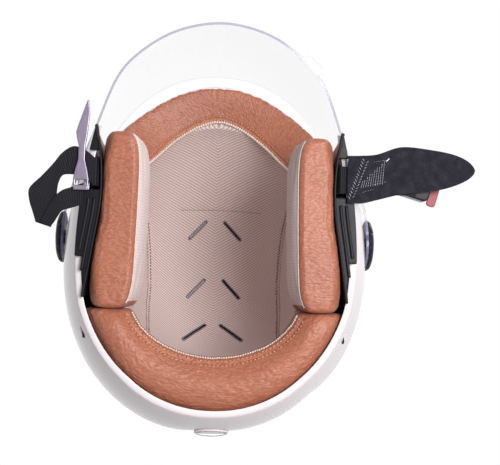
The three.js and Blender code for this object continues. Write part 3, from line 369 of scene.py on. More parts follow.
LACQUER = pearl_lacquer()
FOAM = expanded_foam()
LEATHER = grained_leather()
CROWN_KNIT = knit("herringbone_knit", True)
PAD_KNIT = knit("plain_knit", False)
TAN_THREAD = thread("tan_thread", "#A85C36", "#E2A67C")
GREY_THREAD = thread("grey_thread", "#85848F", "#C9C8D2")
PALE_THREAD = thread("pale_thread", "#D8D0D0", "#F6F0F0")
DARK_THREAD = thread("dark_thread", "#2A2230", "#4A3E4C")
CREAM_THREAD = thread("cream_thread", "#D9C6B8", "#F0E2D8")
CREAM_KNIT = thread("cream_knit", "#CDBFB6", "#DED2CA")
SEAM_THREAD = thread("seam_thread", "#6E463A", "#A27462")
SLIT_THREAD = thread("slit_thread", "#4A4350", "#7C7484")
BLACK_PLASTIC = moulded("satin_black_plastic", "#131218", "#1D1C23", 0.4, 0.05)
RED_PLASTIC = moulded("red_plastic", "#86262C", "#9C3238", 0.28, 0.02)
WEBBING = woven_webbing()
PRESSED_FELT = pressed_felt()
BRIGHT_STEEL = steel("zinc_plated_steel", "#C9C7CC", 0.3)
TONGUE_STEEL = steel("polished_steel", "#958C9B", 0.3)
VISOR_SHEET = clear_sheet("visor_sheet", "#F7F6FC", 0.06)
# Painted shade on the cut rim: a dark, half see-through violet for how dark a clear sheet's edge looks, and a
# paler copy
VISOR_EDGE_SHADE = clear_sheet("visor_edge", "#8A80AA", 0.62, 0.12)
VISOR_PALE_EDGE_SHADE = clear_sheet("visor_pale_edge", "#D8D6E6", 0.22, 0.12)
print(len(bpy.data.materials), "materials")

# %% [markdown]
# ## Floor, world and lamps
# The photograph is a cut-out on white, lit softly from the right. The floor carries the object's shadow
# for views from above, and shines a little, so that it stays pale there. Seen from its back, and by
# shadow and diffuse rays, it lets light through, so that the lamps below it light the opening as the
# studio's lamps did.

# %% Floor and world
FLOOR_SIZE, FLOOR_GLOW = 6, 0.5
AMBIENT = 0.24  # what the white room gives to diffuse surfaces
WHITE = (1, 1, 1, 1)
deselect()
bpy.ops.mesh.primitive_plane_add(size=FLOOR_SIZE)
floor = bpy.context.object
floor.name = "studio_floor"
floor_material, add = new_material("pale_floor")
rays = add("LightPath").node.outputs
passing = add("Math", rays["Is Shadow Ray"], rays["Is Diffuse Ray"], operation="MAXIMUM")
lets_through = add("Math", add("NewGeometry", out="Backfacing"), passing, operation="MAXIMUM")
board = add(
    "BsdfPrincipled", Base_Color="#F3F2F1", Roughness=0.7, Emission_Color=WHITE, Emission_Strength=FLOOR_GLOW
)
add("OutputMaterial", Surface=add("MixShader", lets_through, board, add("BsdfTransparent")))
floor.data.materials.append(floor_material)

world = bpy.data.worlds.new("white_room")
bpy.context.scene.world = world
world.use_nodes = True
world.node_tree.nodes.clear()
add = partial(add_node, world.node_tree)
rays = add("LightPath").node.outputs
seen = add("Math", rays["Is Glossy Ray"], rays["Is Transmission Ray"], operation="MAXIMUM")
seen = add("Math", rays["Is Camera Ray"], seen, operation="MAXIMUM")
add("OutputWorld", Surface=add("Background", WHITE, add("MapRange", seen, 0.0, 1.0, AMBIENT, 1.0)))

# %% Lamps
LIT_PLACE = (0, 0.02, 0.1)  # the middle of the helmet, in metres


def lamp(name, place, size, watts):
    """A soft square lamp, in metres, turned to the middle of the helmet."""
    deselect()
    bpy.ops.object.light_add(type="AREA", location=place)
    made = bpy.context.object
    made.name = name
    made.data.size = size
    made.data.energy = watts
    made.rotation_euler = (Vector(LIT_PLACE) - Vector(place)).to_track_quat("-Z", "Y").to_euler()
    return made


lamp("key_below", (0.36, -0.12, -0.8), 0.4, 9.2)
lamp("fill_below", (-0.25, 0.2, -1.0), 0.9, 0.8)
lamp("key_above", (0.8, -0.8, 1.0), 0.8, 8.0)
lamp("fill_above", (0.2, 0.6, 1.5), 0.9, 3.5)

# %% [markdown]
# ## The helmet's form
# A helmet shell is an egg: a plan curve that swells from a lower pole to its girth and closes at the
# crown. The frame was made from such eggs, and the same sums give the smooth surface here. All lengths
# in them are millimetres.

# %% The two eggs
SHELL = dict(
    half_width=121, girth_z=85, girth_y=30, front=161, rear=136, crown=145, skirt=143, flare=130,
    front_power=1.9, rear_power=2.1,
)
HEAD = dict(
    half_width=77, girth_z=85, girth_y=10, front=114, rear=100, crown=93, skirt=120, flare=0,
    front_power=2.1, rear_power=2.2,
)
WALL = 4.0
SOFT_GAP = 0.6  # between the shell and the padding
LINER = 8.0


def unit(vectors):
    return vectors / np.linalg.norm(vectors, axis=-1, keepdims=True)


def arc_lengths(line):
    """The way along a line of points to each of them."""
    return np.concatenate([[0], np.cumsum(np.linalg.norm(np.diff(line, axis=0), axis=1))])


def smooth_step(low, high, value):
    """0 up to the first value, 1 from the second, and smooth between them."""
    t = np.clip((value - low) / (high - low), 0, 1)
    return t * t * (3 - 2 * t)


def bump_at(distance, width):
    return np.exp(-((distance / width) ** 2))


def turned(points, degrees):
    """Plan places turned about the origin."""
    c, s = math.cos(math.radians(degrees)), math.sin(math.radians(degrees))
    return points @ np.array([[c, s], [-s, c]])


def egg_sizes(egg, inset, z):
    """Half width, reach forward and reach back of an egg at heights z."""
    above = z >= egg["girth_z"]
    reach = np.where(above, egg["crown"], egg["skirt"]) - inset
    spread = np.sqrt(np.clip(1 - ((z - egg["girth_z"]) / reach) ** 2, 1e-9, 1))
    flare = np.where(above, 0, egg["flare"] * ((egg["girth_z"] - z) / egg["girth_z"]) ** 2)
    return (
        (egg["half_width"] - inset) * spread,
        (egg["front"] - inset + flare) * spread,
        (egg["rear"] - inset) * spread,
    )


def egg_half_width(egg, inset, y, z):
    """Half the egg's width at places y, z. It is 0 outside the egg."""
    half, front, rear = egg_sizes(egg, inset, z)
    ahead = y < egg["girth_y"]
    power = np.where(ahead, egg["front_power"], egg["rear_power"])
    share = np.abs(y - egg["girth_y"]) / np.where(ahead, front, rear)
    return half * np.clip(1 - share**power, 0, 1) ** (1 / power)


def egg_point(egg, inset, angle, z):
    """The egg's surface at an angle round it and a height."""
    half, front, rear = egg_sizes(egg, inset, z)
    power = np.where(np.sin(angle) < 0, egg["front_power"], egg["rear_power"])
    across, along = np.cos(angle), np.sin(angle)
    x = half * np.sign(across) * np.abs(across) ** (2 / power)
    y = egg["girth_y"] + np.where(along < 0, front, rear) * np.sign(along) * np.abs(along) ** (2 / power)
    return np.stack([x, y, z + 0 * x], -1)


def egg_surface(egg, inset, centre, directions):
    """Where lines from a centre inside the egg meet its surface."""
    near = np.zeros(directions.shape[:-1])
    far = near + 320.0  # past any place of either egg
    for _ in range(40):
        middle = (near + far) / 2
        p = centre + directions * middle[..., None]
        low = egg["girth_z"] - egg["skirt"] + inset
        high = egg["girth_z"] + egg["crown"] - inset
        inside = (
            (p[..., 2] > low)
            & (p[..., 2] < high)
            & (np.abs(p[..., 0]) < egg_half_width(egg, inset, p[..., 1], np.clip(p[..., 2], low, high)))
        )
        near, far = np.where(inside, middle, near), np.where(inside, far, middle)
    return centre + directions * near[..., None]


# %% [markdown]
# The shell's edge, seen from the side, runs level along the rear, steps up at the sides, turns a round
# corner at the jaw, and sweeps up the face opening on a quarter ellipse to the brow. Each layer inside
# has the same outline, drawn back. The outline is kept in stretches, so that both faces of a wall have
# their corners at the same columns of the grid.

# %% The edge as stretches of points
SIDE_BOTTOM = 8.5
REAR_BOTTOM = 1.0
SIDE_START_Y, REAR_END_Y = 62.0, 112.0
CORNER_Y, CORNER_RADIUS = -70.0, 9.0
TEMPLE_Y, TEMPLE_Z, BROW_Z = -64.0, 68.0, 118.0
BROW_Y = SHELL["girth_y"] - float(egg_sizes(SHELL, 0, np.array(BROW_Z))[1])
FACE_RUN, FACE_RISE = TEMPLE_Y - BROW_Y, BROW_Z - TEMPLE_Z
STRETCHES = (40, 12, 6, 34, 12, 44)  # columns in each stretch, from the brow to the rear
SHELL_EDGE = dict(back=0, rear_bottom=REAR_BOTTOM, side_bottom=SIDE_BOTTOM, step_y=SIDE_START_Y)


def even_steps(points, count):
    """Points at even distances along a line of close points."""
    run = arc_lengths(points)
    wanted = np.linspace(0, run[-1], count + 1)
    return np.stack([np.interp(wanted, run, points[:, i]) for i in range(points.shape[1])], -1)


def edge_loop(egg, inset, back, rear_bottom, side_bottom, step_y):
    """The layer's edge from the brow round the wearer's left to the rear, then back on the right."""
    t = np.linspace(0, 1, 400)
    corner_y = CORNER_Y + back
    rear = egg["girth_y"] + float(egg_sizes(egg, inset, np.array(rear_bottom))[2])
    last_y = min(step_y + REAR_END_Y - SIDE_START_Y, (step_y + 4 * rear) / 5)
    low = max(TEMPLE_Z, side_bottom + CORNER_RADIUS + 1)
    rise = FACE_RISE + TEMPLE_Z - low + back
    arc = np.pi / 2 * (1 - t)
    stretches = [
        (BROW_Y + (FACE_RUN + back) * np.cos(arc), low + rise * np.sin(arc)),
        (TEMPLE_Y + back + (corner_y - TEMPLE_Y - back) * t, low + (side_bottom + CORNER_RADIUS - low) * t),
        (corner_y + CORNER_RADIUS * t**2, side_bottom + CORNER_RADIUS * (1 - t) ** 2),
        (corner_y + CORNER_RADIUS + (step_y - corner_y - CORNER_RADIUS) * t, side_bottom + 0 * t),
        (step_y + (last_y - step_y) * t, side_bottom + (rear_bottom - side_bottom) * t),
    ]
    loop = []
    for (y, z), count in zip(stretches, STRETCHES):
        x = egg_half_width(egg, inset, y, z)
        loop.append(even_steps(np.stack([x, y, z], -1)[x > 0], count)[:-1])
    y = last_y + (rear - last_y) * np.sin(t * np.pi / 2)
    z = rear_bottom + 0 * y
    loop.append(even_steps(np.stack([egg_half_width(egg, inset, y, z), y, z], -1), STRETCHES[-1]))
    left = np.concatenate(loop)
    left[0, 0] = left[-1, 0] = 0
    return np.concatenate([left, left[-2:0:-1] * (-1, 1, 1)])


def dome(egg, inset, loop, centre, pole, rows):
    """Rows of points on an egg from a pole out to an edge loop, along great circles round a centre."""
    ends, pole = unit(loop - centre), unit(np.array(pole))
    angle = np.arccos(np.clip(ends @ pole, -1, 1))
    t = np.linspace(0, 1, rows)[:, None]
    turn = np.sin((1 - t) * angle)[..., None] * pole + np.sin(t * angle)[..., None] * ends
    points = egg_surface(egg, inset, centre, turn / np.sin(angle)[None, :, None])
    points[-1] = loop
    return points


def rounded_wall(outer, inner, corner, steps=7):
    """Joins two domes into one wall, with a rounded lip where they end."""
    middle = (outer[-1] + inner[-1]) / 2
    side = (outer[-1] - inner[-1]) / 2
    up = unit(outer[-3] - outer[-1] + inner[-3] - inner[-1])
    turns = np.linspace(0, np.pi, steps)
    wide = np.sign(np.cos(turns)) * np.abs(np.cos(turns)) ** 0.6
    deep = np.sin(turns) ** 0.6
    lip = [middle + up * corner + side * w - up * corner * d for w, d in zip(wide, deep)]
    return np.concatenate([outer[:-1], np.stack(lip), inner[-2::-1]])


# %% [markdown]
# ## Pieces from a grid
# A smooth surface of this kind is quickest made from the grid primitive: the grid is added by its
# operator and its points are moved onto the surface. Wrapped grids are then stitched along the seam by
# merging doubles, and the normals are turned outwards.

# %% Helpers for meshes


def select(obj):
    deselect()
    obj.select_set(True)
    bpy.context.view_layer.objects.active = obj
    return obj


def point_values(obj, key):
    flat = np.empty(len(obj.data.vertices) * 3, np.float32)
    obj.data.vertices.foreach_get(key, flat)
    return flat.reshape(-1, 3).astype(float)


def places_of(obj):
    """The mesh's points in millimetres."""
    return point_values(obj, "co") / MM


def normals_of(obj):
    return point_values(obj, "normal")


def move_to(obj, places):
    obj.data.vertices.foreach_set("co", (places * MM).astype(np.float32).ravel())
    obj.data.update()


def set_lay(obj, lay):
    """Stores the grain's own coordinates, in millimetres, as the attribute that cloth and hide read."""
    attribute = obj.data.attributes.get("lay") or obj.data.attributes.new("lay", "FLOAT_VECTOR", "POINT")
    attribute.data.foreach_set("vector", np.asarray(lay, np.float32).ravel())


def set_uv(obj, uv):
    """Gives each point its place on the UV map, in millimetres."""
    corners = np.empty(len(obj.data.loops), np.int32)
    obj.data.loops.foreach_get("vertex_index", corners)
    layer = obj.data.uv_layers[0] if obj.data.uv_layers else obj.data.uv_layers.new(name="UVMap")
    layer.data.foreach_set("uv", np.asarray(uv, np.float32)[corners].ravel())


def smoothed(obj, angle=None):
    """Smooth shading, up to a crease angle in degrees where one is given."""
    select(obj)
    if angle is None:
        bpy.ops.object.shade_smooth()
    else:
        bpy.ops.object.shade_smooth_by_angle(angle=math.radians(angle))
    return obj


def clean(obj, angle=40):
    """Merges doubles, turns the faces outwards and smooths them up to a crease angle."""
    select(obj)
    bpy.ops.object.mode_set(mode="EDIT")
    bpy.ops.mesh.select_all(action="SELECT")
    bpy.ops.mesh.remove_doubles(threshold=0.002 * MM)
    bpy.ops.mesh.normals_make_consistent(inside=False)
    bpy.ops.object.mode_set(mode="OBJECT")
    return smoothed(obj, angle)


def from_grid(name, points, angle=40):
    """A grid primitive whose points are moved to rows x columns of places in millimetres."""
    rows, columns = points.shape[:2]
    deselect()
    bpy.ops.mesh.primitive_grid_add(x_subdivisions=columns - 1, y_subdivisions=rows - 1, size=2)
    obj = bpy.context.object
    obj.name = obj.data.name = name
    move_to(obj, points.reshape(-1, 3))
    return clean(obj, angle)


def wrapped(points):
    """Repeats the first column after the last, so that the grid closes round."""
    return np.concatenate([points, points[:, :1]], axis=1)


def apply_modifier(obj, kind, **settings):
    select(obj)
    modifier = obj.modifiers.new(kind.lower(), kind)
    for key, value in settings.items():
        setattr(modifier, key, value)
    bpy.ops.object.modifier_apply(modifier=modifier.name)
    return obj


def rounded(obj, radius, segments=2, angle=60):
    """Rounds the edges that turn by more than an angle in degrees. The radius is in millimetres."""
    limit = dict(limit_method="ANGLE", angle_limit=math.radians(angle))
    return apply_modifier(obj, "BEVEL", width=radius * MM, segments=segments, **limit)


def thickened(obj, thickness, offset=0, **settings):
    """Gives a surface its thickness, to both sides where the offset is 0."""
    return apply_modifier(
        obj, "SOLIDIFY", thickness=thickness * MM, offset=offset, use_even_offset=True, **settings
    )


def mirrored(obj):
    """Takes a piece to the other side, its faces turned the right way again."""
    move_to(obj, places_of(obj) * (-1, 1, 1))
    obj.data.flip_normals()
    return obj


def subdivide(obj, levels=1):
    return apply_modifier(obj, "SUBSURF", levels=levels, render_levels=levels)


def wear(obj, body, slot, *materials, replaces=()):
    """Hands a finished piece to the frame: its body, its finish, and the solid it stands for."""
    kinds = np.empty(len(obj.data.polygons), np.int32)
    obj.data.polygons.foreach_get("material_index", kinds)
    obj.data.materials.clear()
    for material in materials:
        obj.data.materials.append(material)
    obj.data.polygons.foreach_set("material_index", kinds.clip(0, len(materials) - 1))
    if body:
        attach(obj, body)
    if replaces:
        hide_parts(*replaces)
    faces = sum(len(p.vertices) - 2 for p in obj.data.polygons)
    print(f"{obj.name}: {faces} triangles")
    return obj


# %% [markdown]
# ## The outer shell
# The real one is a resin and fibre laminate, 4 mm thick, whose cut edge is filled, rounded and painted
# with the rest. From below, that edge is the bright line that runs all round. A solid of revolution
# can't give this shape, so the wall is one grid: over the outside, round the lip and back inside.

# %% Outer shell
SHELL_CENTRE = np.array([0, 30, 85.0])
SHELL_POLE = (0, 0.62, 0.78)
outside, inside = (
    dome(SHELL, inset, edge_loop(SHELL, inset, **SHELL_EDGE), SHELL_CENTRE, SHELL_POLE, 60)
    for inset in (0, WALL)
)
shell = from_grid("painted_shell", wrapped(rounded_wall(outside, inside, 1.3)))


# %% [markdown]
# The two oval vents near the rear corners go right through the wall. A cylinder, scaled to the oval,
# is the cutter, as a drill and file would be.

# %% Side vents cut through the shell
VENT = dict(y=82.5, z=16.0, length=9.0, height=4.4)


def cut_with(obj, cutter):
    """Takes the cutter's shape out of a piece and removes the cutter."""
    apply_modifier(obj, "BOOLEAN", operation="DIFFERENCE", solver="MANIFOLD", object=cutter)
    bpy.data.objects.remove(cutter)
    return obj


deselect()
bpy.ops.mesh.primitive_cylinder_add(
    vertices=48, radius=1, depth=0.4, rotation=(0, math.pi / 2, 0),
    location=(0, VENT["y"] * MM, VENT["z"] * MM),
)
cutter = bpy.context.object
cutter.scale = (VENT["height"] / 2 * MM, VENT["length"] / 2 * MM, 1)
cut_with(shell, cutter)
wear(shell, "helmet", "shell_paint", LACQUER, replaces=["outer_shell"])

# %% [markdown]
# ## Crown liner
# The comfort liner is knit laminated to thin foam and sewn from three panels: a wide one over the
# crown and one down each side, with double stitched seams that draw it in. The grid of the shell
# serves again, on the egg of the head. The UV map is measured over the dome from its top, so that the
# herringbone keeps its pitch on the steep sides.

# %% Crown liner's surface
HEAD_CENTRE = np.array([0, 10, 85.0])
DOME_RADIUS = 88.0
LINER_EDGE = dict(back=13.2, rear_bottom=38.0, side_bottom=76.2, step_y=66.0)
SIDE_SEAM = np.array(
    [[-140, 92], [-100, 86], [-45, 78], [-15, 70], [14, 66], [44, 64.5], [95, 71], [140, 86]], float
)  # places to the rear of the dome's top and to the side, in millimetres over the dome
CROSS_SEAM = dict(v=-31.0, from_u=-32.0, to_u=42.0)
HEAD_POLE = (0, 0.25, 1)
# How far each seam draws the knit in and how wide that is felt, and how full the panels are between
QUILT = dict(seam=1.7, seam_width=2.4, cross=0.7, cross_width=1.8, fullness=0.9, fall_off=14.0, back=0.4)


def over_dome(points):
    """Distances over the dome from its top: to the wearer's left, and to the rear."""
    d = unit(points - HEAD_CENTRE)
    level = np.hypot(d[..., 0], d[..., 1]) + 1e-9
    run = DOME_RADIUS * np.arccos(np.clip(d[..., 2], -1, 1))
    return np.stack([run * d[..., 0] / level, run * d[..., 1] / level], -1)


def dome_direction(u, v):
    """The direction from the head's centre of a place given over the dome."""
    run = np.hypot(u, v) + 1e-9
    a = run / DOME_RADIUS
    return np.stack([np.sin(a) * u / run, np.sin(a) * v / run, np.cos(a)], -1)


liner_outside, liner_inside = (
    dome(HEAD, inset, edge_loop(HEAD, inset, **LINER_EDGE), HEAD_CENTRE, HEAD_POLE, 110)
    for inset in (-LINER, 0)
)
uv = over_dome(liner_inside)
from_side_seam = np.abs(uv[..., 0]) - np.interp(uv[..., 1], SIDE_SEAM[:, 0], SIDE_SEAM[:, 1])
beyond = np.maximum(CROSS_SEAM["from_u"] - uv[..., 0], uv[..., 0] - CROSS_SEAM["to_u"]).clip(0)
from_cross = np.hypot(uv[..., 1] - CROSS_SEAM["v"], beyond)
drawn = QUILT["seam"] * bump_at(from_side_seam, QUILT["seam_width"])
drawn += QUILT["cross"] * bump_at(from_cross, QUILT["cross_width"])
fullness = QUILT["fullness"] * (1 - bump_at(from_side_seam, QUILT["fall_off"]))
liner_inside += unit(liner_inside - HEAD_CENTRE) * (drawn - fullness + QUILT["back"])[..., None]
liner = from_grid("crown_lining", wrapped(rounded_wall(liner_outside, liner_inside, 1.6)))

# %% [markdown]
# Six slits let air through to the channels of the impact liner. Each is a rounded bar cut right through
# the cushion, so the dark foam shows behind it, and has a buttonhole edge sewn round it.

# %% Vent slits
SLIT = dict(length=23.0, width=1.9)
SLIT_HALF = (SLIT["length"] - SLIT["width"]) / 2  # from its middle to the centre of an end
SLIT_ROWS = ((16, -4, 47), (16, 50, 47), (16, 88, 32))  # x, y and turn in degrees, on the wearer's left


def slit_cutter(x, y, turn):
    """A rounded bar that stands upright through the crown, turned to the slit's direction."""
    deselect()
    bpy.ops.mesh.primitive_cylinder_add(vertices=20, radius=SLIT["width"] / 2 * MM, depth=0.16)
    bar = bpy.context.object
    p = places_of(bar)
    p[:, 0] += np.sign(p[:, 0]) * SLIT_HALF
    p[:, :2] = turned(p[:, :2], turn) + (x, y)
    p[:, 2] += HEAD["girth_z"] + HEAD["crown"]
    move_to(bar, p)
    return bar


SLITS = [(side * x, y, turn if side > 0 else 180 - turn) for x, y, turn in SLIT_ROWS for side in (-1, 1)]
cutters = [slit_cutter(*slit) for slit in SLITS]
deselect()
for bar in cutters:
    bar.select_set(True)
bpy.context.view_layer.objects.active = cutters[0]
bpy.ops.object.join()
smoothed(cut_with(liner, cutters[0]), 40)
set_uv(liner, over_dome(places_of(liner)))
wear(liner, "helmet", "knit", CROWN_KNIT, replaces=["crown_liner"])

# %% [markdown]
# ## Stitching
# A stitch is a short round thread whose ends dive into the cloth. One is modelled from a sphere and
# repeated along a line: at each place it takes the surface's own normal, found by casting a ray, so the
# row lies on whatever form the padding has.

# %% Helpers for stitches and cords


def surface_of(obj):
    """A tree of the mesh's faces in millimetres, for casting rays."""
    faces = [list(p.vertices) for p in obj.data.polygons]
    return BVHTree.FromPolygons(places_of(obj).tolist(), faces)


def cast(tree, starts, directions):
    """Where rays meet the surface, and its normals there, towards the ray's start."""
    places, normals = [], []
    for start, direction in zip(starts, np.broadcast_to(directions, np.shape(starts))):
        hit, normal, _, _ = tree.ray_cast(Vector(start), Vector(direction).normalized())
        if hit is None:
            continue
        places.append(hit)
        normals.append(normal if normal.dot(Vector(direction)) < 0 else -normal)
    return np.array(places, float).reshape(-1, 3), np.array(normals, float).reshape(-1, 3)


def evenly(points, pitch, *others):
    """Points at a pitch along a line, with other values that belong to them carried along."""
    run = arc_lengths(points)
    wanted = np.arange(pitch / 2, run[-1], pitch)
    return [
        np.stack([np.interp(wanted, run, values[:, i]) for i in range(values.shape[1])], -1)
        for values in (points, *others)
    ]


def smooth_line(points, passes=2):
    """Rounds a line off by averaging each point with its neighbours."""
    points = points.copy()
    for _ in range(passes):
        points[1:-1] = (points[:-2] + 2 * points[1:-1] + points[2:]) / 4
    return points


END_DIP = 1.1  # how many radii the ends of a stitch dive


def stitch_pattern(length, radius):
    """One stitch, along X, with its ends bent down. Gives its points and faces."""
    deselect()
    bpy.ops.mesh.primitive_uv_sphere_add(segments=7, ring_count=6, rotation=(0, math.pi / 2, 0))
    ball = bpy.context.object
    bpy.ops.object.transform_apply(rotation=True)
    p = places_of(ball) * MM
    x = p[:, 0]
    p = np.stack([x * length / 2, p[:, 1] * radius, (p[:, 2] - END_DIP * x**2) * radius], -1)
    faces = [list(f.vertices) for f in ball.data.polygons]
    bpy.data.objects.remove(ball)
    return p, faces


def repeated(name, pattern, places, ahead, up):
    """One mesh of copies of a pattern, each at a place, with X ahead and Z up."""
    p, faces = pattern
    up = unit(up)
    ahead = unit(ahead - up * np.sum(ahead * up, axis=1)[:, None])
    axes = np.stack([ahead, np.cross(up, ahead), up], 1)
    copies = (places[:, None] + p @ axes).reshape(-1, 3)
    all_faces = [[i + k * len(p) for i in face] for k in range(len(places)) for face in faces]
    mesh = bpy.data.meshes.new(name)
    mesh.from_pydata((copies * MM).tolist(), [], all_faces)
    obj = bpy.data.objects.new(name, mesh)
    bpy.context.collection.objects.link(obj)
    return smoothed(obj)


def turned_about(ahead, up, degrees):
    """Directions turned about the normals."""
    a = math.radians(degrees)
    return ahead * math.cos(a) + np.cross(unit(up), ahead) * math.sin(a)


def sew(name, line, normals, pitch, length, radius, slant=0.0, lift=0.1):
    """
    A row of stitches along a line on a surface. Pitch, length, radius and lift are in millimetres, and
    each stitch is turned by the slant, in degrees.
    """
    normals = smooth_line(normals, 4)
    places, ahead, up = evenly(line, pitch, np.gradient(line, axis=0), normals)
    return repeated(
        name, stitch_pattern(length, radius), places + up * lift, turned_about(ahead, up, slant), up
    )


def tube(name, line, radius, sides=8):
    """A round cord along a line, closed at its ends."""
    ahead = unit(np.gradient(line, axis=0))
    side = np.cross(ahead, (0.0, 0.0, 1.0))
    flat = np.linalg.norm(side, axis=1) < 0.2
    side[flat] = np.cross(ahead[flat], (1.0, 0.0, 0.0))
    side = unit(side)
    up = np.cross(side, ahead)
    turns = np.linspace(0, 2 * np.pi, sides, endpoint=False)[None, :, None]
    rings = line[:, None] + radius * (np.cos(turns) * side[:, None] + np.sin(turns) * up[:, None])
    caps = [np.repeat(line[end][None, None], sides, axis=1) for end in (0, -1)]
    return from_grid(name, wrapped(np.concatenate([caps[0], rings, caps[1]])), angle=60)


# %% Stitching of the crown
crown_faces = surface_of(liner)
v = np.linspace(-96, 112, 140)
centres = np.repeat(HEAD_CENTRE[None], len(v), 0)
for name, side in (("left", 1), ("right", -1)):
    u = side * np.interp(v, SIDE_SEAM[:, 0], SIDE_SEAM[:, 1])
    for row, aside, slant in (("outer", 2.1, 24), ("inner", -2.1, -24)):
        line, normals = cast(crown_faces, centres, dome_direction(u + side * aside, v))
        stitches = sew(f"crown_seam_{row}_{name}", smooth_line(line, 3), normals, 2.9, 2.9, 0.62, slant)
        wear(stitches, "helmet", "knit", SEAM_THREAD)
u = np.linspace(CROSS_SEAM["from_u"], CROSS_SEAM["to_u"], 60)
line, normals = cast(crown_faces, centres[:60], dome_direction(u, 0 * u + CROSS_SEAM["v"]))
wear(sew("crown_cross_seam", line, normals, 2.0, 1.9, 0.32, lift=0.0), "helmet", "knit", DARK_THREAD)

# %% Buttonhole edges round the slits
IN_HEAD = 90.0  # a height inside the head
HALF_BAR = 1.7  # from the slit's middle to where its bars end
r = SLIT["width"] / 2 + 0.35
bend = np.linspace(-np.pi / 2, np.pi / 2, 9)
one_end = np.stack([SLIT_HALF + r * np.cos(bend), r * np.sin(bend)], -1)
ring = np.concatenate([one_end, -one_end, one_end[:1]])


def above_plan(plan):
    """Places of a plan line on the crown, and the normals there."""
    return cast(crown_faces, np.pad(plan, ((0, 0), (0, 1)), constant_values=IN_HEAD), (0, 0, 1))


for number, (x, y, turn) in enumerate(SLITS):
    line, normals = above_plan(even_steps(turned(ring, turn) + (x, y), 90))
    edging = sew(f"slit_edge_{number}", line, normals, 0.85, 1.5, 0.4, slant=90, lift=0.05)
    wear(edging, "helmet", "knit", SLIT_THREAD)
    if x < 0 and y < 60:  # two slits of the photograph have their bars bright
        lengthwise = np.linspace(-SLIT_HALF, SLIT_HALF, 40)
        banks = [np.stack([lengthwise, 0 * lengthwise + bank], -1) for bank in (-HALF_BAR, HALF_BAR)]
        (one, one_up), (other, other_up) = (above_plan(turned(bank, turn) + (x, y)) for bank in banks)
        count = min(len(one), len(other))
        middle, up = (one[:count] + other[:count]) / 2, one_up[:count] + other_up[:count]
        bridge = sew(f"slit_bars_{number}", middle, up, 1.5, 3.6, 0.36, slant=72, lift=-0.1)
        wear(bridge, "helmet", "knit", PALE_THREAD)

# %% [markdown]
# ## Leather padding
# The rolls and cheek pads are foam in sewn covers. A copy of each solid is remeshed evenly, drawn in a
# little and then blown up by cloth pressure, with its seams pinned, so that it swells between them as a
# stuffed cover does. Subdivision gives the points that the hide's creases and the seams then move.

# %% Helpers for padding


def copy_of(node, name):
    """A merged copy of a solid, free to be changed."""
    obj = bpy.data.objects.new(name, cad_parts[node].data.copy())
    bpy.context.collection.objects.link(obj)
    return clean(obj)


def nearest_on(line, points):
    """For each point, which place of a line of close points is nearest, and how far it is."""
    tree = KDTree(len(line))
    for i, p in enumerate(line):
        tree.insert(p, i)
    tree.balance()
    found = [tree.find(p) for p in points]
    return np.array([hit[1] for hit in found]), np.array([hit[2] for hit in found])


def near_line(points, line):
    """Each point's distance to a line of close points."""
    return nearest_on(line, points)[1]


def puff(obj, pinned, draw_in=1.2, cap=3.0, pressure=4.0, frames=20):
    """Blows a closed piece up by cloth pressure. Pinned points stay, and none moves past the cap."""
    start = places_of(obj) - normals_of(obj) * draw_in
    move_to(obj, start)
    pins = obj.vertex_groups.new(name="pins")
    pins.add(np.flatnonzero(pinned).tolist(), 1.0, "REPLACE")
    cloth = obj.modifiers.new("cloth", "CLOTH")
    cloth.settings.quality = 4
    cloth.settings.mass = 0.3
    cloth.settings.tension_stiffness = cloth.settings.compression_stiffness = 9
    cloth.settings.shear_stiffness = 4
    cloth.settings.bending_stiffness = 0.4
    cloth.settings.use_pressure = True
    cloth.settings.uniform_pressure_force = pressure
    cloth.settings.effector_weights.gravity = 0
    cloth.settings.vertex_group_mass = "pins"
    cloth.point_cache.frame_start, cloth.point_cache.frame_end = 1, frames
    for step in range(1, frames + 1):
        bpy.context.scene.frame_set(step)
    shaped = obj.evaluated_get(bpy.context.evaluated_depsgraph_get())
    moved = places_of(shaped) - start
    obj.modifiers.remove(cloth)
    obj.vertex_groups.clear()
    bpy.context.scene.frame_set(1)
    length = np.linalg.norm(moved, axis=1)[:, None] + 1e-9
    move_to(obj, start + moved * np.minimum(1, cap / length))


def ripples(points, size, seed, waves=14):
    """A smooth random field over points, from -1 to 1, with features about one size across."""
    draw = np.random.default_rng(seed)
    total = np.zeros(len(points))
    for _ in range(waves):
        way = draw.normal(size=3)
        way *= draw.uniform(0.7, 1.5) / np.linalg.norm(way)
        total += np.sin(points @ way * (2 * np.pi / size) + draw.uniform(0, 2 * np.pi))
    return total / math.sqrt(waves / 2) / 1.6


def keep_clear(obj, solid, allowed=0.35):
    """Draws back what has swollen further than allowed out of the solid that it stands for."""
    tree = surface_of(solid)
    points = places_of(obj)
    for i, p in enumerate(points):
        near, normal, _, _ = tree.find_nearest(Vector(p))
        out = (Vector(p) - near).dot(normal)
        if out > allowed:
            points[i] = p - np.array(normal) * (out - allowed)
    move_to(obj, points)


def creases(obj, lay, size, depth, seed):
    """Folds of the hide, drawn out along the second of its own coordinates."""
    bent = lay + 6 * np.stack([ripples(lay, 40, seed + k) for k in range(3)], -1)
    field = ripples(bent * (1, 0.38, 1), size, seed)
    ridge = np.tanh(2.2 * field)
    move_to(obj, places_of(obj) + normals_of(obj) * (ridge * depth)[:, None])


def carve(obj, line, depth, width):
    """Draws the cover in along a seam."""
    points = places_of(obj)
    amount = depth * bump_at(near_line(points, line), width)
    move_to(obj, points - normals_of(obj) * amount[:, None])


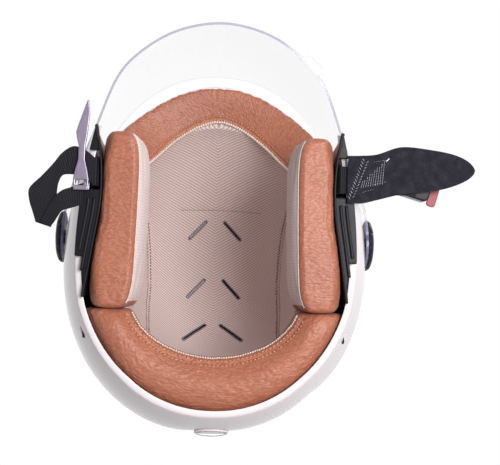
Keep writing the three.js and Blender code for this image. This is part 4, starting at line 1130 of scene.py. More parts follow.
def padding(name, node, voxel, pinned, draw_in=1.2, cap=3.0, pressure=4.0):
    """A stuffed cover from a solid: remeshed, blown up and subdivided, still inside its room."""
    solid = copy_of(node, name + "_room")
    obj = copy_of(node, name)
    apply_modifier(obj, "REMESH", mode="VOXEL", voxel_size=voxel * MM)
    apply_modifier(obj, "SMOOTH", factor=0.5, iterations=2)
    puff(obj, pinned(places_of(obj)), draw_in, cap, pressure)
    keep_clear(obj, solid)
    subdivide(obj, 2)
    bpy.data.objects.remove(solid)
    rest = places_of(obj)
    rest[:, 2] = rest[:, 2].clip(0.05)
    move_to(obj, rest)
    return smoothed(obj)


def two_covers(obj, is_knit):
    """Gives the faces whose middle and normal pass the test the second material."""
    for face in obj.data.polygons:
        face.material_index = int(is_knit(face.center / MM, face.normal))


# %% [markdown]
# The neck roll is a crescent across the back of the opening. Its cover is sewn along the inner edge
# with a double row, over a cream welt that shows against the knit, and the hide lies in creases that
# follow the crescent.

# %% Neck roll
NECK = dict(half_width=63.0, reach=46.0, y=52.0, end_y=65.0)
BELOW_ALL = -40.0  # a height under the whole helmet


def neck_curve(inset, count=160):
    """The crescent's inner edge in plan, moved outwards by inset."""
    a = math.asin((NECK["end_y"] - NECK["y"]) / NECK["reach"])
    t = np.linspace(a + 0.02, math.pi - a - 0.02, count)
    return np.stack(
        [(NECK["half_width"] + inset) * np.cos(t), NECK["y"] + (NECK["reach"] + inset) * np.sin(t)], -1
    )


def from_below(surface, plan):
    """Places of a plan line on the underside of a piece, and the normals there."""
    return cast(surface, np.pad(plan, ((0, 0), (0, 1)), constant_values=BELOW_ALL), (0, 0, 1))


def near_in_plan(points, plan):
    """Each point's distance to a plan line, whatever its height."""
    return near_line(points * (1, 1, 0), np.pad(plan, ((0, 0), (0, 1))))


def neck_pins(points):
    return near_in_plan(points, neck_curve(5.0)) < 3.0


def inner_edge(surface, curve, inside, outside):
    """Where a piece ends, seen from below, between a plan curve that misses it and one that meets it."""
    misses, meets = curve(inside), curve(outside)
    for _ in range(9):
        middle = (misses + meets) / 2
        casts = [surface.ray_cast(Vector((x, y, BELOW_ALL)), Vector((0, 0, 1))) for x, y in middle]
        hits = np.array([hit[0] is not None for hit in casts])[:, None]
        misses, meets = np.where(hits, misses, middle), np.where(hits, middle, meets)
    return smooth_line(meets, 4)


def moved_out(plan, by):
    """A plan line moved square to itself, to the right of its run."""
    ahead = unit(np.gradient(plan, axis=0))
    return plan + by * np.stack([ahead[:, 1], -ahead[:, 0]], -1)


def sew_below(name, surface, plan, thread, *size, **more):
    """A row of stitches on the underside of a leather piece, along a plan line."""
    line, normals = from_below(surface, plan)
    wear(sew(name, line, normals, *size, **more), "helmet", "leather", thread)


def neck_inner_edge(surface):
    return inner_edge(surface, lambda inset: neck_curve(inset, 300), -14.0, 6.0)


neck = padding("neck_roll_cover", "neck_roll", 2.8, neck_pins, draw_in=0.4, cap=2.2)
points = places_of(neck)
points[:, 1] -= 1.1 * smooth_step(78, 62, points[:, 1])  # its ends close up to the cheek pads
move_to(neck, points)
surface = surface_of(neck)
seam, _ = from_below(surface, moved_out(neck_inner_edge(surface), 4.1))
carve(neck, seam, 1.1, 1.5)
points = places_of(neck)
aside, back = points[:, 0] / NECK["half_width"], (points[:, 1] - NECK["y"]) / NECK["reach"]
radius = np.hypot(aside, back) * 55
neck_lay = np.stack([radius, np.arctan2(back, aside) * 80 + radius * 0.35, points[:, 2]], -1)
set_lay(neck, neck_lay)
creases(neck, neck_lay, 5.2, 0.13, 11)
wear(neck, "helmet", "leather", LEATHER, replaces=["neck_roll"])
surface = surface_of(neck)
neck_edge = neck_inner_edge(surface)
for row, inset in (("outer", 5.6), ("inner", 2.6)):
    plan = moved_out(neck_edge, inset)
    sew_below(f"neck_stitch_{row}", surface, plan, TAN_THREAD, 3.1, 2.7, 0.55, slant=14)
sew_below("neck_welt", surface, moved_out(neck_edge, 0.7), CREAM_THREAD, 1.9, 2.2, 0.8, slant=62, lift=0.2)

# %% [markdown]
# The brow roll runs from temple to temple inside the face edge. It has the same cover, a double row of
# stitches and a scalloped cream binding where it meets the crown.

# %% Brow roll
BROW_AIM_Y = HEAD["girth_y"] - 23  # the roll is made square to lines through here
BROW_BEND_Y = 30  # how far ahead of the origin the middle of its bend lies


def brow_curve(aside, count=240):
    """A plan line along the brow roll, aside from the face edge by so many millimetres."""
    angle = np.radians(np.linspace(-142, -38, count))
    z = np.full(count, BROW_Z)
    for _ in range(12):
        p = egg_point(SHELL, WALL + SOFT_GAP, angle, z)
        share = np.clip((p[:, 1] - BROW_Y) / FACE_RUN, 0, 1)
        z = TEMPLE_Z + FACE_RISE * np.sqrt(1 - share**2)
    return p[:, :2] + unit((0, BROW_AIM_Y) - p[:, :2]) * aside


def brow_pins(points):
    return near_in_plan(points, brow_curve(19.3)) < 2.5


brow = padding("brow_roll_cover", "brow_roll", 2.8, brow_pins, draw_in=0.5)


def drawn_towards(obj, line, ways, width):
    """Moves a piece's points by the way of the nearest place on a line, less with distance from it."""
    points = places_of(obj)
    nearest, distance = nearest_on(line, points)
    move_to(obj, points + ways[nearest] * bump_at(distance, width)[:, None])


def brow_part(loop, columns):
    """The part of an edge loop that runs along the brow, from the right temple to the left."""
    half = loop[: columns + 1]
    return np.concatenate([half[:0:-1] * (-1, 1, 1), half])


def level_away(line):
    """Level directions away from a place in the middle of the roll's curve."""
    return unit((line + (0, BROW_BEND_Y, 0)) * (1, 1, 0))


# The roll laps over the shell's rim, and its inner side is pulled against the crown
rim_line = brow_part(edge_loop(SHELL, WALL, **SHELL_EDGE), STRETCHES[0] - 6)
lip_line = brow_part(edge_loop(HEAD, 0, **LINER_EDGE), STRETCHES[0] - 4)
LAP = dict(out=7.4, over=5.0, inward=6.4, width=10.0)
facing = unit(((0, BROW_Y, TEMPLE_Z) - rim_line) * (0, 1 / FACE_RUN**2, 1 / FACE_RISE**2))
drawn_towards(brow, rim_line, level_away(rim_line) * LAP["out"] + facing * LAP["over"], LAP["width"])
drawn_towards(brow, lip_line, -level_away(lip_line) * LAP["inward"], LAP["width"])
surface = surface_of(brow)
brow_edge = inner_edge(surface, brow_curve, 34.0, 14.0)
seam, _ = from_below(surface, moved_out(brow_edge, 4.0))
carve(brow, seam, 0.6, 1.3)
points = places_of(brow)
turn = np.arctan2(points[:, 1] + BROW_BEND_Y, points[:, 0]) * 85
out = np.hypot(points[:, 0], points[:, 1] + BROW_BEND_Y)
brow_lay = np.stack([turn + out, out - turn, points[:, 2]], -1) * 0.8
set_lay(brow, brow_lay)
creases(brow, brow_lay, 4.2, 0.06, 21)
wear(brow, "helmet", "leather", LEATHER, replaces=["brow_roll"])
surface = surface_of(brow)
for row, aside in (("outer", 5.4), ("inner", 2.5)):
    plan = moved_out(brow_edge, aside)
    sew_below(f"brow_stitch_{row}", surface, plan, TAN_THREAD, 2.9, 2.5, 0.55, slant=14)
plan = moved_out(brow_edge, 0.9)
sew_below("brow_binding", surface, plan, CREAM_THREAD, 2.1, 3.2, 1.05, slant=70, lift=0.4)

# %% [markdown]
# Each cheek pad is a cushion with a leather underside and ends, and knit towards the face. A cord
# covered in the knit marks the seam between the two.

# %% Cheek pads
CHEEK = dict(front_y=-65.0, rear_y=63.8, height=75.0, seam_z=4.2)


def cheek_seam(surface, side, z, count=200):
    """Where the leather and the knit meet: along the lower inner edge, seen from the head."""
    y = np.linspace(CHEEK["front_y"] + 3.5, CHEEK["rear_y"] - 3.5, count)
    starts = np.stack([0 * y, y, 0 * y + z], -1)
    return cast(surface, starts, (side, 0, 0))


for name, side in (("left", 1), ("right", -1)):
    room = surface_of(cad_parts[f"cheek_pad_{name}"])
    rough_seam, _ = cheek_seam(room, side, CHEEK["seam_z"])

    def cheek_pins(points, rough_seam=rough_seam, side=side):
        return (near_line(points, rough_seam) < 3.0) | (side * points[:, 0] > 74.5) & (points[:, 2] > 30)

    pad = padding(f"cheek_cushion_{name}", f"cheek_pad_{name}", 2.2, cheek_pins, draw_in=0.3, cap=1.6)
    points = places_of(pad)
    points[:, 1] += 0.9 * smooth_step(46, 62, points[:, 1])  # its end closes up to the neck roll
    move_to(pad, points)
    seam, _ = cheek_seam(surface_of(pad), side, CHEEK["seam_z"], 400)
    carve(pad, seam, 0.9, 1.3)
    points = places_of(pad)
    lay = np.stack([points[:, 1], points[:, 0] * side + 0.25 * points[:, 1], points[:, 2]], -1)
    set_lay(pad, lay)
    creases(pad, lay, 4.6, 0.08, 31 + side)
    rearwards = np.clip((points[:, 1] + 62) / 60, 0.15, 1)  # the front is smoother
    move_to(pad, points + (places_of(pad) - points) * rearwards[:, None])
    wear(pad, "helmet", "leather", LEATHER, PAD_KNIT, replaces=[f"cheek_pad_{name}"])

    def is_knit(place, normal, side=side):
        towards_face = side * normal.x < -0.3
        return towards_face and CHEEK["seam_z"] < place.z < 70 and abs(place.y + 2) < 61

    two_covers(pad, is_knit)
    surface = surface_of(pad)
    line, normals = cheek_seam(surface, side, CHEEK["seam_z"])
    line = smooth_line(line, 6) + normals * 0.2
    welt = tube(f"cheek_welt_{name}", line, 0.75)
    wear(welt, "helmet", "knit", CREAM_KNIT)

# %% [markdown]
# ## Visor
# The shield is blown from a 2 mm sheet of polycarbonate and trimmed. Its two edges are smooth curves from
# the ear to the middle, and the sheet bellies out a little between them. One grid follows the edges and
# runs on round each ear; Solidify gives it its thickness and a material of its own on the cut rim. That
# material is painted shade: a dark violet, half see-through, for how dark a clear sheet's cut edge looks.

# %% Visor's edges
PIVOT = dict(y=10.0, z=85.0)
EAR_INNER_X = 121.184
EAR_RADIUS = 20.0
BROW_GAP, CHIN_REACH, BELLY, SWEEP_Y = 9.2, 20.0, 5.0, -40.0
UPPER_REACH = PIVOT["y"] - BROW_Y + BROW_GAP
# Shares of the ears' width and of the reach ahead of the pivot, and the height above the pivot
VISOR_LOWER = (
    (1, 0, -18), (0.982, 0.133, -19), (0.937, 0.253, -21), (0.809, 0.494, -28),
    (0.644, 0.765, -40), (0.495, 0.873, -44.5), (0.281, 0.961, -48), (0, 1, -49.5),
)
VISOR_UPPER = (
    (1, 0, 18), (0.987, 0.123, 21), (0.949, 0.247, 24), (0.829, 0.479, 30),
    (0.644, 0.733, 36.5), (0.479, 0.87, 39), (0.264, 0.966, 40.5), (0, 1, 41),
)


def through(points, count):
    """A centripetal Catmull-Rom curve through the points, at even steps of its own measure."""
    p = np.array(points, float)
    p = np.concatenate([[2 * p[0] - p[1]], p, [2 * p[-1] - p[-2]]])
    t = np.linspace(0, len(points) - 1, count)
    k = np.minimum(t.astype(int), len(points) - 2)
    w = (t - k)[:, None]
    a, b, c, d = p[k], p[k + 1], p[k + 2], p[k + 3]
    ab, bc, cd = (np.sqrt(np.linalg.norm(n - m, axis=1))[:, None] for m, n in ((a, b), (b, c), (c, d)))
    start = ((b - a) / ab - (c - a) / (ab + bc) + (c - b) / bc) * bc
    end = ((c - b) / bc - (d - b) / (bc + cd) + (d - c) / cd) * bc
    return b + start * w + (3 * (c - b) - 2 * start - end) * w**2 + (2 * (b - c) + start + end) * w**3


def visor_edge(shares, reach, count):
    """The edge from the ear to the middle. It runs on past the middle first, so that it is level there."""
    half = [(w * EAR_INNER_X, PIVOT["y"] - a * reach, PIVOT["z"] + h) for w, a, h in shares]
    mirrored_half = [(-x, y, z) for x, y, z in half[-2::-1]]
    return through(half + mirrored_half, 2 * count - 1)[:count]


def visor_points(columns=64, rows=20, ear_columns=12):
    lower = visor_edge(VISOR_LOWER, UPPER_REACH + CHIN_REACH, columns)
    upper = visor_edge(VISOR_UPPER, UPPER_REACH, columns)
    share = np.linspace(0, 1, rows)[:, None, None]
    sheet = lower[None] * (1 - share) + upper[None] * share
    away = sheet * (1, 1, 0)
    away[..., 1] = np.minimum(0, away[..., 1] - SWEEP_Y)
    bow = BELLY * np.sin(np.pi * share[..., 0]) * smooth_step(0.25, 1, np.linspace(0, 1, columns))[None]
    sheet = sheet + unit(away) * bow[..., None]
    ahead = PIVOT["y"] - sheet[..., 1]
    round_ear = np.sqrt(np.clip(EAR_RADIUS**2 - ahead**2, 0, None))
    level = sheet[..., 2] - PIVOT["z"]
    half = np.abs(level[[0, -1]]).min(axis=0)
    grow = np.maximum(round_ear / half, 1)
    sheet[..., 2] = PIVOT["z"] + level * np.where(ahead < EAR_RADIUS, grow, 1)
    off_pivot = np.hypot(ahead, sheet[..., 2] - PIVOT["z"])
    flat = 1 - smooth_step(13, 30, off_pivot)
    sheet[..., 0] += (EAR_INNER_X - sheet[..., 0]) * flat
    turn = np.linspace(np.pi / 2, 0.03, ear_columns)[:-1][None]
    rise = np.linspace(-1, 1, rows)[:, None]
    ear = np.stack(
        [
            np.full((rows, ear_columns - 1), EAR_INNER_X),
            PIVOT["y"] + EAR_RADIUS * np.cos(turn) * np.ones_like(rise),
            PIVOT["z"] + EAR_RADIUS * np.sin(turn) * rise,
        ],
        -1,
    )[:, :0:-1]
    left = np.concatenate([ear, sheet], axis=1)
    return np.concatenate([left, left[:, -2::-1] * (-1, 1, 1)], axis=1)


# %% Visor
SHEET_THICKNESS = 2.0
visor = from_grid("visor_shield", visor_points(), angle=60)
if normals_of(visor)[np.argmin(places_of(visor)[:, 1])][1] > 0:
    visor.data.flip_normals()
visor.data.materials.append(VISOR_SHEET)
visor.data.materials.append(VISOR_EDGE_SHADE)
thickened(visor, SHEET_THICKNESS, offset=1, material_offset_rim=1)


def bored(obj, radius):
    """Bores a hole through both ears, on the pivot axis."""
    deselect()
    bpy.ops.mesh.primitive_cylinder_add(
        vertices=48, radius=radius * MM, depth=0.3, rotation=(0, math.pi / 2, 0),
        location=(0, PIVOT["y"] * MM, PIVOT["z"] * MM),
    )
    return cut_with(obj, bpy.context.object)


bored(visor, 6.0)

# %% [markdown]
# A lift tab is moulded on the lower edge, on the wearer's left. It is a small flat tongue that a gloved
# thumb finds, drawn as a plan outline, extruded and rounded, and then joined to the sheet.

# %% Lift tab
TAB = dict(width=19.0, reach=7.0)


def plate(name, outline, low, high, bevel):
    """A flat plate of a plan outline between two heights, its edges rounded."""
    deselect()
    bpy.ops.mesh.primitive_circle_add(vertices=len(outline), radius=1, fill_type="NGON")
    obj = bpy.context.object
    obj.name = obj.data.name = name
    move_to(obj, np.concatenate([outline, np.full((len(outline), 1), low)], axis=1))
    bpy.ops.object.mode_set(mode="EDIT")
    bpy.ops.mesh.select_all(action="SELECT")
    bpy.ops.mesh.extrude_region_move(TRANSFORM_OT_translate={"value": (0, 0, (high - low) * MM)})
    bpy.ops.mesh.select_all(action="SELECT")
    bpy.ops.mesh.normals_make_consistent(inside=False)
    bpy.ops.object.mode_set(mode="OBJECT")
    return smoothed(rounded(obj, bevel, 3, 50), 40)


def join_to(obj, other):
    """Makes one solid of two."""
    apply_modifier(obj, "BOOLEAN", operation="UNION", solver="MANIFOLD", object=other)
    bpy.data.objects.remove(other)
    return obj


w, reach = TAB["width"], TAB["reach"]
TAB_CORNERS = (
    (-w / 2, -1.5), (-w * 0.46, reach * 0.4), (-w * 0.4, reach * 0.86), (-w * 0.28, reach), (0, reach),
    (w * 0.26, reach), (w * 0.42, reach * 0.8), (w * 0.49, reach * 0.4), (w * 0.52, -1.5),
)
lower_edge = visor_edge(VISOR_LOWER, UPPER_REACH + CHIN_REACH, 15)
root, ahead = lower_edge[9], lower_edge[10] - lower_edge[8]
lean = math.degrees(math.atan2(ahead[1], ahead[0]))
tab_outline = turned(through(TAB_CORNERS, 40), lean) + root[:2]
tab = plate("tab", tab_outline, root[2], root[2] + SHEET_THICKNESS, 0.6)
smoothed(join_to(visor, tab), 35)
# The lower rim and the bore take the dark painted edge shade; the upper rim and the tab's sides take its
# paler copy
CUT, PALE_CUT = 1, 2  # the materials of the dark and the pale edges
for face in visor.data.polygons:
    place = face.center / MM
    bore = math.hypot(place.y - PIVOT["y"], place.z - PIVOT["z"]) < 6.2
    from_root = math.hypot(place.x - root[0], place.y - root[1])
    in_tab = from_root < 13 and place.z < root[2] + 1.9 and place.y < root[1]
    if bore or (in_tab and abs(face.normal.z) < 0.8):
        face.material_index = PALE_CUT if in_tab else CUT
    elif in_tab:
        face.material_index = 0
    elif face.material_index == CUT and place.z > PIVOT["z"]:
        face.material_index = PALE_CUT
wear(visor, "visor", "visor_clear", VISOR_SHEET, VISOR_EDGE_SHADE, VISOR_PALE_EDGE_SHADE, replaces=["visor_lens"])

# %% [markdown]
# ## Side trims
# A black moulding closes the gap between each cheek pad and the rim. It is a thin upright blade, a
# wedge and a cover in front of the strap, a longer cover behind it that runs out in a tail, and two
# lengthwise ribs. Each is a bar of rounded section that follows the same curve, and a union makes them
# one moulding.

# %% Bars along the trim
TRIM = dict(bottom=3.0, blade=1.6, blade_top=26.0, front_y=-69.0, wedge_y=-58.0, step_y=27.0, rear_y=57.0)
STRAP = dict(width=20.0, thickness=1.6, y=-34.0, slack=1.5)
TRIM_WIDTHS = ((-69, 1.1), (-42, 10.7), (-14, 15), (18, 12.8), (57, 4.9))  # y, width in from the rim
TRIM_TOP, COVER_TOP, LEDGE = 8.0, 8.2, TRIM["bottom"] + 1.3


def rim_x(y, inset=0.0):
    """How far out the shell is at its rim."""
    y = np.asarray(y, float)
    return egg_half_width(SHELL, inset, y, np.full_like(y, SIDE_BOTTOM))


trim_curve = through([(float(rim_x(y)) - w, y, 0) for y, w in TRIM_WIDTHS], 200)


def trim_x(y):
    return np.interp(y, trim_curve[:, 1], trim_curve[:, 0])


def bar_along(name, ys, low_x, high_x, low_z, high_z, corner):
    """A closed bar along Y of rounded rectangular section, with rounded ends."""
    ys, low_x, high_x, low_z, high_z = np.broadcast_arrays(ys, low_x, high_x, low_z, high_z)
    turns = np.linspace(0, 2 * np.pi, 28, endpoint=False) + 0.01  # so that no point has a sign of 0
    wide, deep = np.cos(turns), np.sin(turns)
    rings = []
    for y, x0, x1, z0, z1 in zip(ys, low_x, high_x, low_z, high_z):
        r = min(corner, (x1 - x0) / 2.02, (z1 - z0) / 2.02)
        x = (x0 + x1) / 2 + np.sign(wide) * ((x1 - x0) / 2 - r) + wide * r
        z = (z0 + z1) / 2 + np.sign(deep) * ((z1 - z0) / 2 - r) + deep * r
        rings.append(np.stack([x, np.full_like(x, y), z], -1))
    ends = []
    for ring, beyond in ((rings[0], ys[0] - corner * 0.5), (rings[-1], ys[-1] + corner * 0.5)):
        middle = ring.mean(axis=0)
        shrunk = middle + (ring - middle) * (1 - corner / np.ptp(ring[:, [0, 2]], axis=0).min() * 0.6)
        shrunk[:, 1] = beyond
        middle = middle.copy()
        middle[1] = beyond
        ends.append((shrunk, np.repeat(middle[None], len(ring), axis=0)))
    stack = [ends[0][1], ends[0][0], *rings, ends[1][0], ends[1][1]]
    return from_grid(name, wrapped(np.stack(stack)), angle=50)


def side_trim():
    """The moulding on the wearer's left."""
    bottom = TRIM["bottom"]
    y = np.linspace(TRIM["front_y"] + 0.5, TRIM["rear_y"] - 0.5, 90)
    top = TRIM_TOP + (TRIM["blade_top"] - TRIM_TOP) * smooth_step(-57, -46, y)
    whole = bar_along("side_trim", y, trim_x(y), trim_x(y) + TRIM["blade"], bottom, top, 0.75)
    y = np.linspace(TRIM["front_y"] + 1, TRIM["wedge_y"], 14)
    outer_x = np.maximum(trim_x(y) + 2.4, rim_x(y, 4.8))
    parts = [bar_along("wedge", y, trim_x(y) + 0.8, outer_x, bottom, 8.1, 0.6)]
    for name, low, high in (("front_cover", -67.0, -50.4), ("rear_cover", -20.6, TRIM["step_y"])):
        y = np.linspace(low, high, 40)
        parts.append(bar_along(name, y, trim_x(y) + 0.8, rim_x(y) + 0.4, LEDGE, COVER_TOP, 0.9))
    y = np.linspace(TRIM["step_y"] - 2, TRIM["rear_y"] - 1, 30)
    outer_x = np.maximum(trim_x(y) + 2.2, rim_x(y, 5.0))
    parts.append(bar_along("tail", y, trim_x(y) + 0.8, outer_x, LEDGE, COVER_TOP, 0.9))
    for offset, low, high in ((3.7, -14.6, 37.0), (7.9, -14.6, 23.0)):
        y = np.linspace(low, high, 50)
        inner_x = trim_x(y) + offset
        parts.append(bar_along("rib", y, inner_x, inner_x + 2.6, bottom, LEDGE + 1.2, 1.25))
    for part in parts:
        join_to(whole, part)
    return smoothed(whole, 40)


def mirror_copy(obj, name):
    """The same piece on the wearer's right."""
    twin = bpy.data.objects.new(name, obj.data.copy())
    bpy.context.collection.objects.link(twin)
    return mirrored(twin)


trim = side_trim()
trim.name = "rim_trim_left"
wear(trim, "helmet", "black_plastic", BLACK_PLASTIC, replaces=["side_trim_left"])
right_trim = mirror_copy(trim, "rim_trim_right")
wear(right_trim, "helmet", "black_plastic", BLACK_PLASTIC, replaces=["side_trim_right"])

# %% [markdown]
# ## Pivot caps
# A cap is a turned form with finger grips: a dished face inside a raised ring, a rounded rim with twelve
# notches, and a well for the screw. It is a grid wrapped round the pivot axis whose radius follows the
# profile, and the notches are drawn in by a narrow bump that repeats round it.

# %% Pivot caps
CAP = dict(x=EAR_INNER_X + SHEET_THICKNESS + 0.3, radius=21.0, height=4.6, sleeve_x=119.884)
GRIPS = 12


def pivot_cap(side):
    """A cap from its profile: radius and height, from the well over the face to the sleeve behind it."""
    r, h, sleeve = CAP["radius"], CAP["height"], CAP["sleeve_x"] - CAP["x"]
    steps = np.array([
        (2.8, h - 3.1), (4.8, h - 3.1), (5.0, h - 2.9), (5.0, h - 1.1), (5.3, h - 0.8), (8.0, h - 0.7),
        (13.2, h - 0.9), (13.9, h - 0.6), (14.4, h - 0.1), (15.4, h), (16.6, h - 0.25), (18.2, h - 0.8),
        (19.6, h - 1.5), (20.5, h - 2.4), (20.95, h - 3.3), (r, 0.5), (r - 0.4, 0.0), (5.5, 0.0), (5.5, 0.0),
        (5.4, sleeve), (2.8, sleeve),
    ])
    turn = np.linspace(0, 2 * np.pi, 144, endpoint=False)
    notch = bump_at((turn * GRIPS / (2 * np.pi) + 0.5) % 1 - 0.5, 0.09)
    inward = smooth_step(17.5, 20.6, steps[:, 0]) * (steps[:, 1] > 0.3)
    lowered = 0.7 * smooth_step(17.0, 20.6, steps[:, 0]) * (steps[:, 1] > 0.6)
    radius = steps[:, :1] - notch * inward[:, None]
    x = CAP["x"] + steps[:, 1:] - notch * lowered[:, None]
    points = np.stack([x, PIVOT["y"] + radius * np.cos(turn), PIVOT["z"] + radius * np.sin(turn)], -1)
    points = np.concatenate([points, points[:1]])
    cap = from_grid("pivot_cover", wrapped(points), angle=35)
    return cap if side > 0 else mirrored(cap)


for name, side in (("left", 1), ("right", -1)):
    cap = pivot_cap(side)
    cap.name = f"pivot_cover_{name}"
    wear(cap, "helmet", "black_plastic", BLACK_PLASTIC, replaces=[f"pivot_cap_{name}"])

# %% [markdown]
# ## Small hardware and mouldings
# Pressed, turned and moulded small parts already have their form in the frame. A copy is remeshed
# finely and eased, which rounds each edge as moulding and tumbling do, and takes its own finish.
# Hidden parts that are right as they are only get the finish.

# %% Rounded copies of the small parts


def eased(node, name, voxel, passes, body, slot, material):
    """A copy of a solid with every edge rounded over by about a voxel."""
    obj = copy_of(node, name)
    apply_modifier(obj, "REMESH", mode="VOXEL", voxel_size=voxel * MM)
    apply_modifier(obj, "SMOOTH", factor=0.5, iterations=passes)
    return wear(smoothed(obj), body, slot, material, replaces=[node])


eased("buckle_housing", "buckle_body", 0.36, 4, "strap_left", "black_plastic", BLACK_PLASTIC)
eased("release_lever", "red_lever", 0.36, 4, "lever", "red_plastic", RED_PLASTIC)
eased("ratchet_tongue", "toothed_tongue", 0.3, 3, "tongue", "steel", TONGUE_STEEL)
badge = eased("rear_badge", "bare_badge", 0.4, 3, "helmet", "shell_paint", LACQUER)
badge_low, badge_high = (np.array(corner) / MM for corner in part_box("rear_badge"))
badge_middle, badge_half = (badge_low + badge_high) / 2, (badge_high - badge_low) / 2
around = np.linspace(0, 2 * np.pi, 97)
for number, margin in enumerate((1.1, 2.3)):
    oval = np.stack([
        (badge_half[0] - margin) * np.cos(around), 0 * around + badge_high[1] + 30,
        badge_middle[2] + (badge_half[2] - margin) * np.sin(around),
    ], -1)
    line, _ = cast(surface_of(badge), oval, (0, -1, 0))
    wear(tube(f"badge_ring_{number}", line, 0.28), "helmet", "shell_paint", GREY_THREAD)
for side in ("left", "right"):
    eased(f"side_vent_{side}", f"vent_grommet_{side}", 0.3, 3, "helmet", "black_plastic", BLACK_PLASTIC)
    eased(f"strap_rivet_{side}", f"rivet_{side}", 0.3, 4, "helmet", "steel", BRIGHT_STEEL)
    eased(f"pivot_screw_{side}", f"visor_screw_{side}", 0.3, 3, "helmet", "steel", BRIGHT_STEEL)

# %% Finishes on the solids that stay as they are
STAYING = {
    "eps_liner": FOAM, "cheek_pad_base": FOAM, "cheek_snap_strip": BLACK_PLASTIC,
    "pivot_washer": BRIGHT_STEEL, "pivot_nut": BRIGHT_STEEL, "strap_anchor_plate": BRIGHT_STEEL,
    "lever_pin": BRIGHT_STEEL, "lever_spring": BRIGHT_STEEL,
}
for node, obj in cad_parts.items():
    for start, material in STAYING.items():
        if node.startswith(start):
            for slot in obj.material_slots:
                slot.material = material

# %% [markdown]
# ## Chin strap
# The webbing is polyester, 20 mm wide, and it isn't flat: it is a ribbon whose two edges are curves,
# with a ribbed weave that must follow it round every bend. So each strand is a grid between its two
# edges, with its own coordinates along and across stored for the weave, and Solidify gives it body.

# %% Ribbons
HINGE_X = float(trim_x(STRAP["y"])) + TRIM["blade"] + STRAP["thickness"] / 2 + STRAP["slack"]
WEB_BOTTOM = 3.65
WEB_MIDDLE = WEB_BOTTOM + STRAP["thickness"] / 2
FELT = dict(middle=1.85, thickness=3.0)


def ribbon(name, first, second, thickness, rows=11):
    """A strip between two edge lines of as many points, thick and rounded, with its weave's lay."""
    share = np.linspace(0, 1, rows)[:, None, None]
    points = first[None] * (1 - share) + second[None] * share
    obj = from_grid(name, points, angle=60)
    along = arc_lengths((first + second) / 2)
    lay = np.stack(np.broadcast_arrays(along[None], share[..., 0] * STRAP["width"], 0), -1)
    set_lay(obj, lay.reshape(-1, 3))
    return smoothed(rounded(thickened(obj, thickness), 0.45), 50)


def strip_edges(points_at):
    """The two edges of a strip, from a function of the place across it."""
    return [points_at(half) for half in (-STRAP["width"] / 2, STRAP["width"] / 2)]


def strap_plan(points, height, side=1):
    """Plan places measured out from the hinge and to the rear, at a height, in the helmet's frame."""
    p = np.asarray(points, float)
    z = np.broadcast_to(height, p.shape[:1])
    return np.stack([side * (HINGE_X + p[:, 0]), STRAP["y"] + p[:, 1], z], -1)


# %% [markdown]
# Inside the shell the webbing runs from the anchor plate, down between the trim's blade and the wall,
# and round the rim. That bend crosses the strap's hinge, so the piece is given to no body, and its
# placing is baked into its points.

# %% Fixed run of the webbing
inner_box = [np.array(corner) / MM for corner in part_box("strap_inner_left")]
PLATE_SIDE = float(inner_box[1][0]) - STRAP["thickness"] / 2
INNER_TOP = float(inner_box[1][2]) - 0.2
for name, side in (("left", 1), ("right", -1)):
    route = through(
        [(PLATE_SIDE, INNER_TOP), (PLATE_SIDE, INNER_TOP - 12), (PLATE_SIDE - 0.6, INNER_TOP - 24),
         (HINGE_X - 0.4, 16), (HINGE_X, 6.5), (HINGE_X + 0.9, 4.9), (HINGE_X + 3.2, 4.46)], 60
    )

    def run_edge(half, side=side, route=route):
        return np.stack([side * route[:, 0], np.full(60, STRAP["y"] + half), route[:, 1]], -1)

    edges = strip_edges(run_edge)
    run = ribbon(f"strap_run_{name}", *edges, STRAP["thickness"] - 0.1)
    wear(run, None, "webbing", WEBBING, replaces=[f"strap_inner_{name}"])
    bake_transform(run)

# %% [markdown]
# The left strap lies outward. Its webbing ends under the buckle, and against it lies the chin pad, a leaf
# of pressed felt 3 mm thick, wide at the chin and pointed at the end, with the webbing sewn to it.

# %% Felt chin pad
# Plan places measured out from the hinge and to the rear
FELT_FRONT = (
    (5.5, -17.6), (15, -18), (26, -19.2), (44, -25.3), (64, -24.4), (85, -20.8), (95, -16.2), (99.3, -11.4),
    (99.8, -9.4),
)
FELT_REAR = (
    (5.5, 17.2), (16, 17), (28, 14), (46, 9.2), (74, 5.2), (88, 0.6), (96, -4.0), (99.2, -7.6),
    (99.8, -9.4),
)
front, rear = (even_steps(through(line, 300), 119) for line in (FELT_FRONT, FELT_REAR))
share = np.linspace(0, 1, 31)[:, None, None]
leaf = front[None] * (1 - share) + rear[None] * share
felt_grid = strap_plan(leaf.reshape(-1, 2), FELT["middle"])
sway = ripples(felt_grid, 38, 61).reshape(leaf.shape[:2])
felt_grid = felt_grid.reshape(*leaf.shape[:2], 3)
felt_grid[..., 2] += 0.18 * sway * smooth_step(30, 60, leaf[..., 0])
chin_pad = from_grid("felt_chin_pad", felt_grid, angle=60)
smoothed(rounded(thickened(chin_pad, FELT["thickness"] - 0.5), 0.8, 3), 60)
wear(chin_pad, "strap_left", "felt", PRESSED_FELT, replaces=["chin_pad"])

# %% Webbing of the left strap
WEB_START, WEB_END = 1.7, 57.0
route = np.linspace(WEB_START, WEB_END, 70)
edges = strip_edges(lambda half: strap_plan(np.stack([route, np.full(70, half)], -1), WEB_MIDDLE))
left_webbing = ribbon("strap_left_webbing", *edges, STRAP["thickness"])
wear(left_webbing, "strap_left", "webbing", WEBBING, replaces=["strap_webbing_left"])


def felt_stitches(name, start, end, *size, thread=GREY_THREAD):
    """A row of stitches on the felt's underside between two places, out from the hinge and rearward."""
    line, normals = cast(felt_faces, strap_plan(np.linspace(start, end, 30), BELOW_ALL), (0, 0, 1))
    wear(sew(name, line, normals, *size, lift=0.05), "strap_left", "felt", thread)


felt_faces = surface_of(chin_pad)
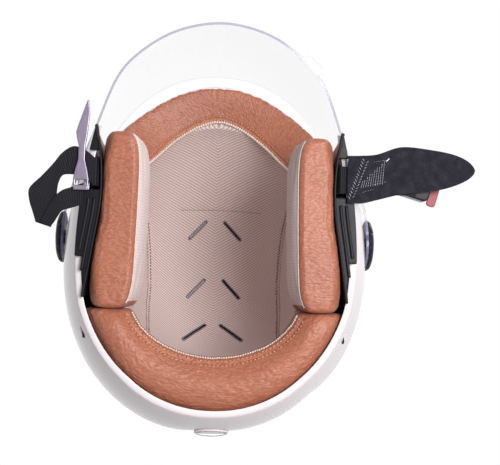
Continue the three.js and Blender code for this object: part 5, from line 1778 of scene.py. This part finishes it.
# Start, end, pitch, length, radius and slant of each row
rows_of_thread = (
    ((17.0, -16.0), (6.5, 13.5), 2.3, 3.0, 0.2, 52),
    ((20.0, -14.5), (9.0, 14.5), 2.3, 2.4, 0.17, -30),
    ((24.0, -13.5), (34.5, -15.5), 1.6, 0.9, 0.16, 0),
    ((24.5, 3.0), (34.0, 0.5), 1.9, 1.0, 0.16, 12),
    ((16.0, 9.0), (26.0, 6.0), 1.9, 1.0, 0.16, 12),
)
for number, row in enumerate(rows_of_thread):
    felt_stitches(f"felt_row_{number}", *row)
for number, out in enumerate(np.arange(15.0, 32.0, 1.75)):
    low = 6.0 - (out - 15) * 0.2
    high = low - 5.5 - (out - 15) * 0.75
    felt_stitches(f"felt_hatch_{number}", (out, low), (out + 1.5, high), 2.0, 2.1, 0.15, 0)
felt_stitches("felt_bartack", (33.5, -14.4), (35.5, -16.4), 0.8, 1.7, 0.3, 40, thread=PALE_THREAD)

# %% [markdown]
# The right strap is a folded loop. One strand comes out of the helmet and sweeps round to the rear, then
# the webbing turns over on a slanted fold and comes back, under the first strand, to the slot of the
# tongue.

# %% Right loop
LOOP_OUTER = (
    (1.7, -10), (9, -15.5), (17.5, -18), (25.5, -13), (31.5, -5), (39.5, 4.5), (48, 14), (47.6, 22), (45, 30),
    (42.4, 38),
)
LOOP_INNER = (
    (1.7, 10), (7.5, 6), (13, 3.4), (18.5, 2.6), (24.5, 3.5), (27.2, 9), (28, 14), (28.2, 24), (29, 33),
    (31.4, 41.4),
)
outer, inner = (even_steps(through(line, 300), 89) for line in (LOOP_OUTER, LOOP_INNER))
height = WEB_MIDDLE - 0.75 * smooth_step(24, 40, (outer + inner)[:, 0] / 2)
edges = [strap_plan(edge, height, -1) for edge in (outer, inner)]
loop = ribbon("strap_right_loop", *edges, STRAP["thickness"] - 0.2)
p = places_of(loop)
out, back = -p[:, 0] - HINGE_X, p[:, 1] - STRAP["y"]
# Small wrinkles where it turns: place out from the hinge, and depth on both faces
for at, depth in ((19.0, 0.35), (22.2, 0.4), (25.4, 0.3)):
    way = np.where(p[:, 2] > WEB_MIDDLE, -1, 1)
    p[:, 2] += depth * bump_at(out - at, 0.8) * smooth_step(6, -4, back) * way
p[:, 2] += 0.25 * ripples(p * (1, 1, 0.2), 17, 71) * smooth_step(16, 30, out)
move_to(loop, p)
wear(loop, "strap_right", "webbing", WEBBING, replaces=["strap_webbing_right"])

RETURN_UPPER = ((9.4, 8.6), (12.5, 9.6), (18, 12.0), (24.1, 14.6), (29.5, 20), (34.5, 29), (38.5, 37.6))
RETURN_LOWER = ((9.4, 25.0), (12.5, 25.4), (18, 27.4), (23.6, 29.6), (26.6, 34), (29.2, 38.4), (31.6, 41.2))
upper, lower = (even_steps(through(line, 300), 69) for line in (RETURN_UPPER, RETURN_LOWER))
height = 3.75 - 2.35 * smooth_step(13, 24, (upper + lower)[:, 0] / 2)
edges = [strap_plan(edge, height, -1) for edge in (upper, lower)]
back_strand = ribbon("strap_right_return", *edges, 1.3)
p = places_of(back_strand)
out, back = -p[:, 0] - HINGE_X, p[:, 1] - STRAP["y"]
p[:, 2] -= 0.5 * bump_at(out - 27.5 - 0.25 * (back - 20), 1.2) * smooth_step(10, 20, back)
p[:, 2] += 0.22 * ripples(p * (1, 1, 0.2), 13, 73) * smooth_step(16, 26, out)
p[:, 2] = p[:, 2].clip(0.2)
move_to(back_strand, p)
wear(back_strand, "strap_right", "webbing", WEBBING)
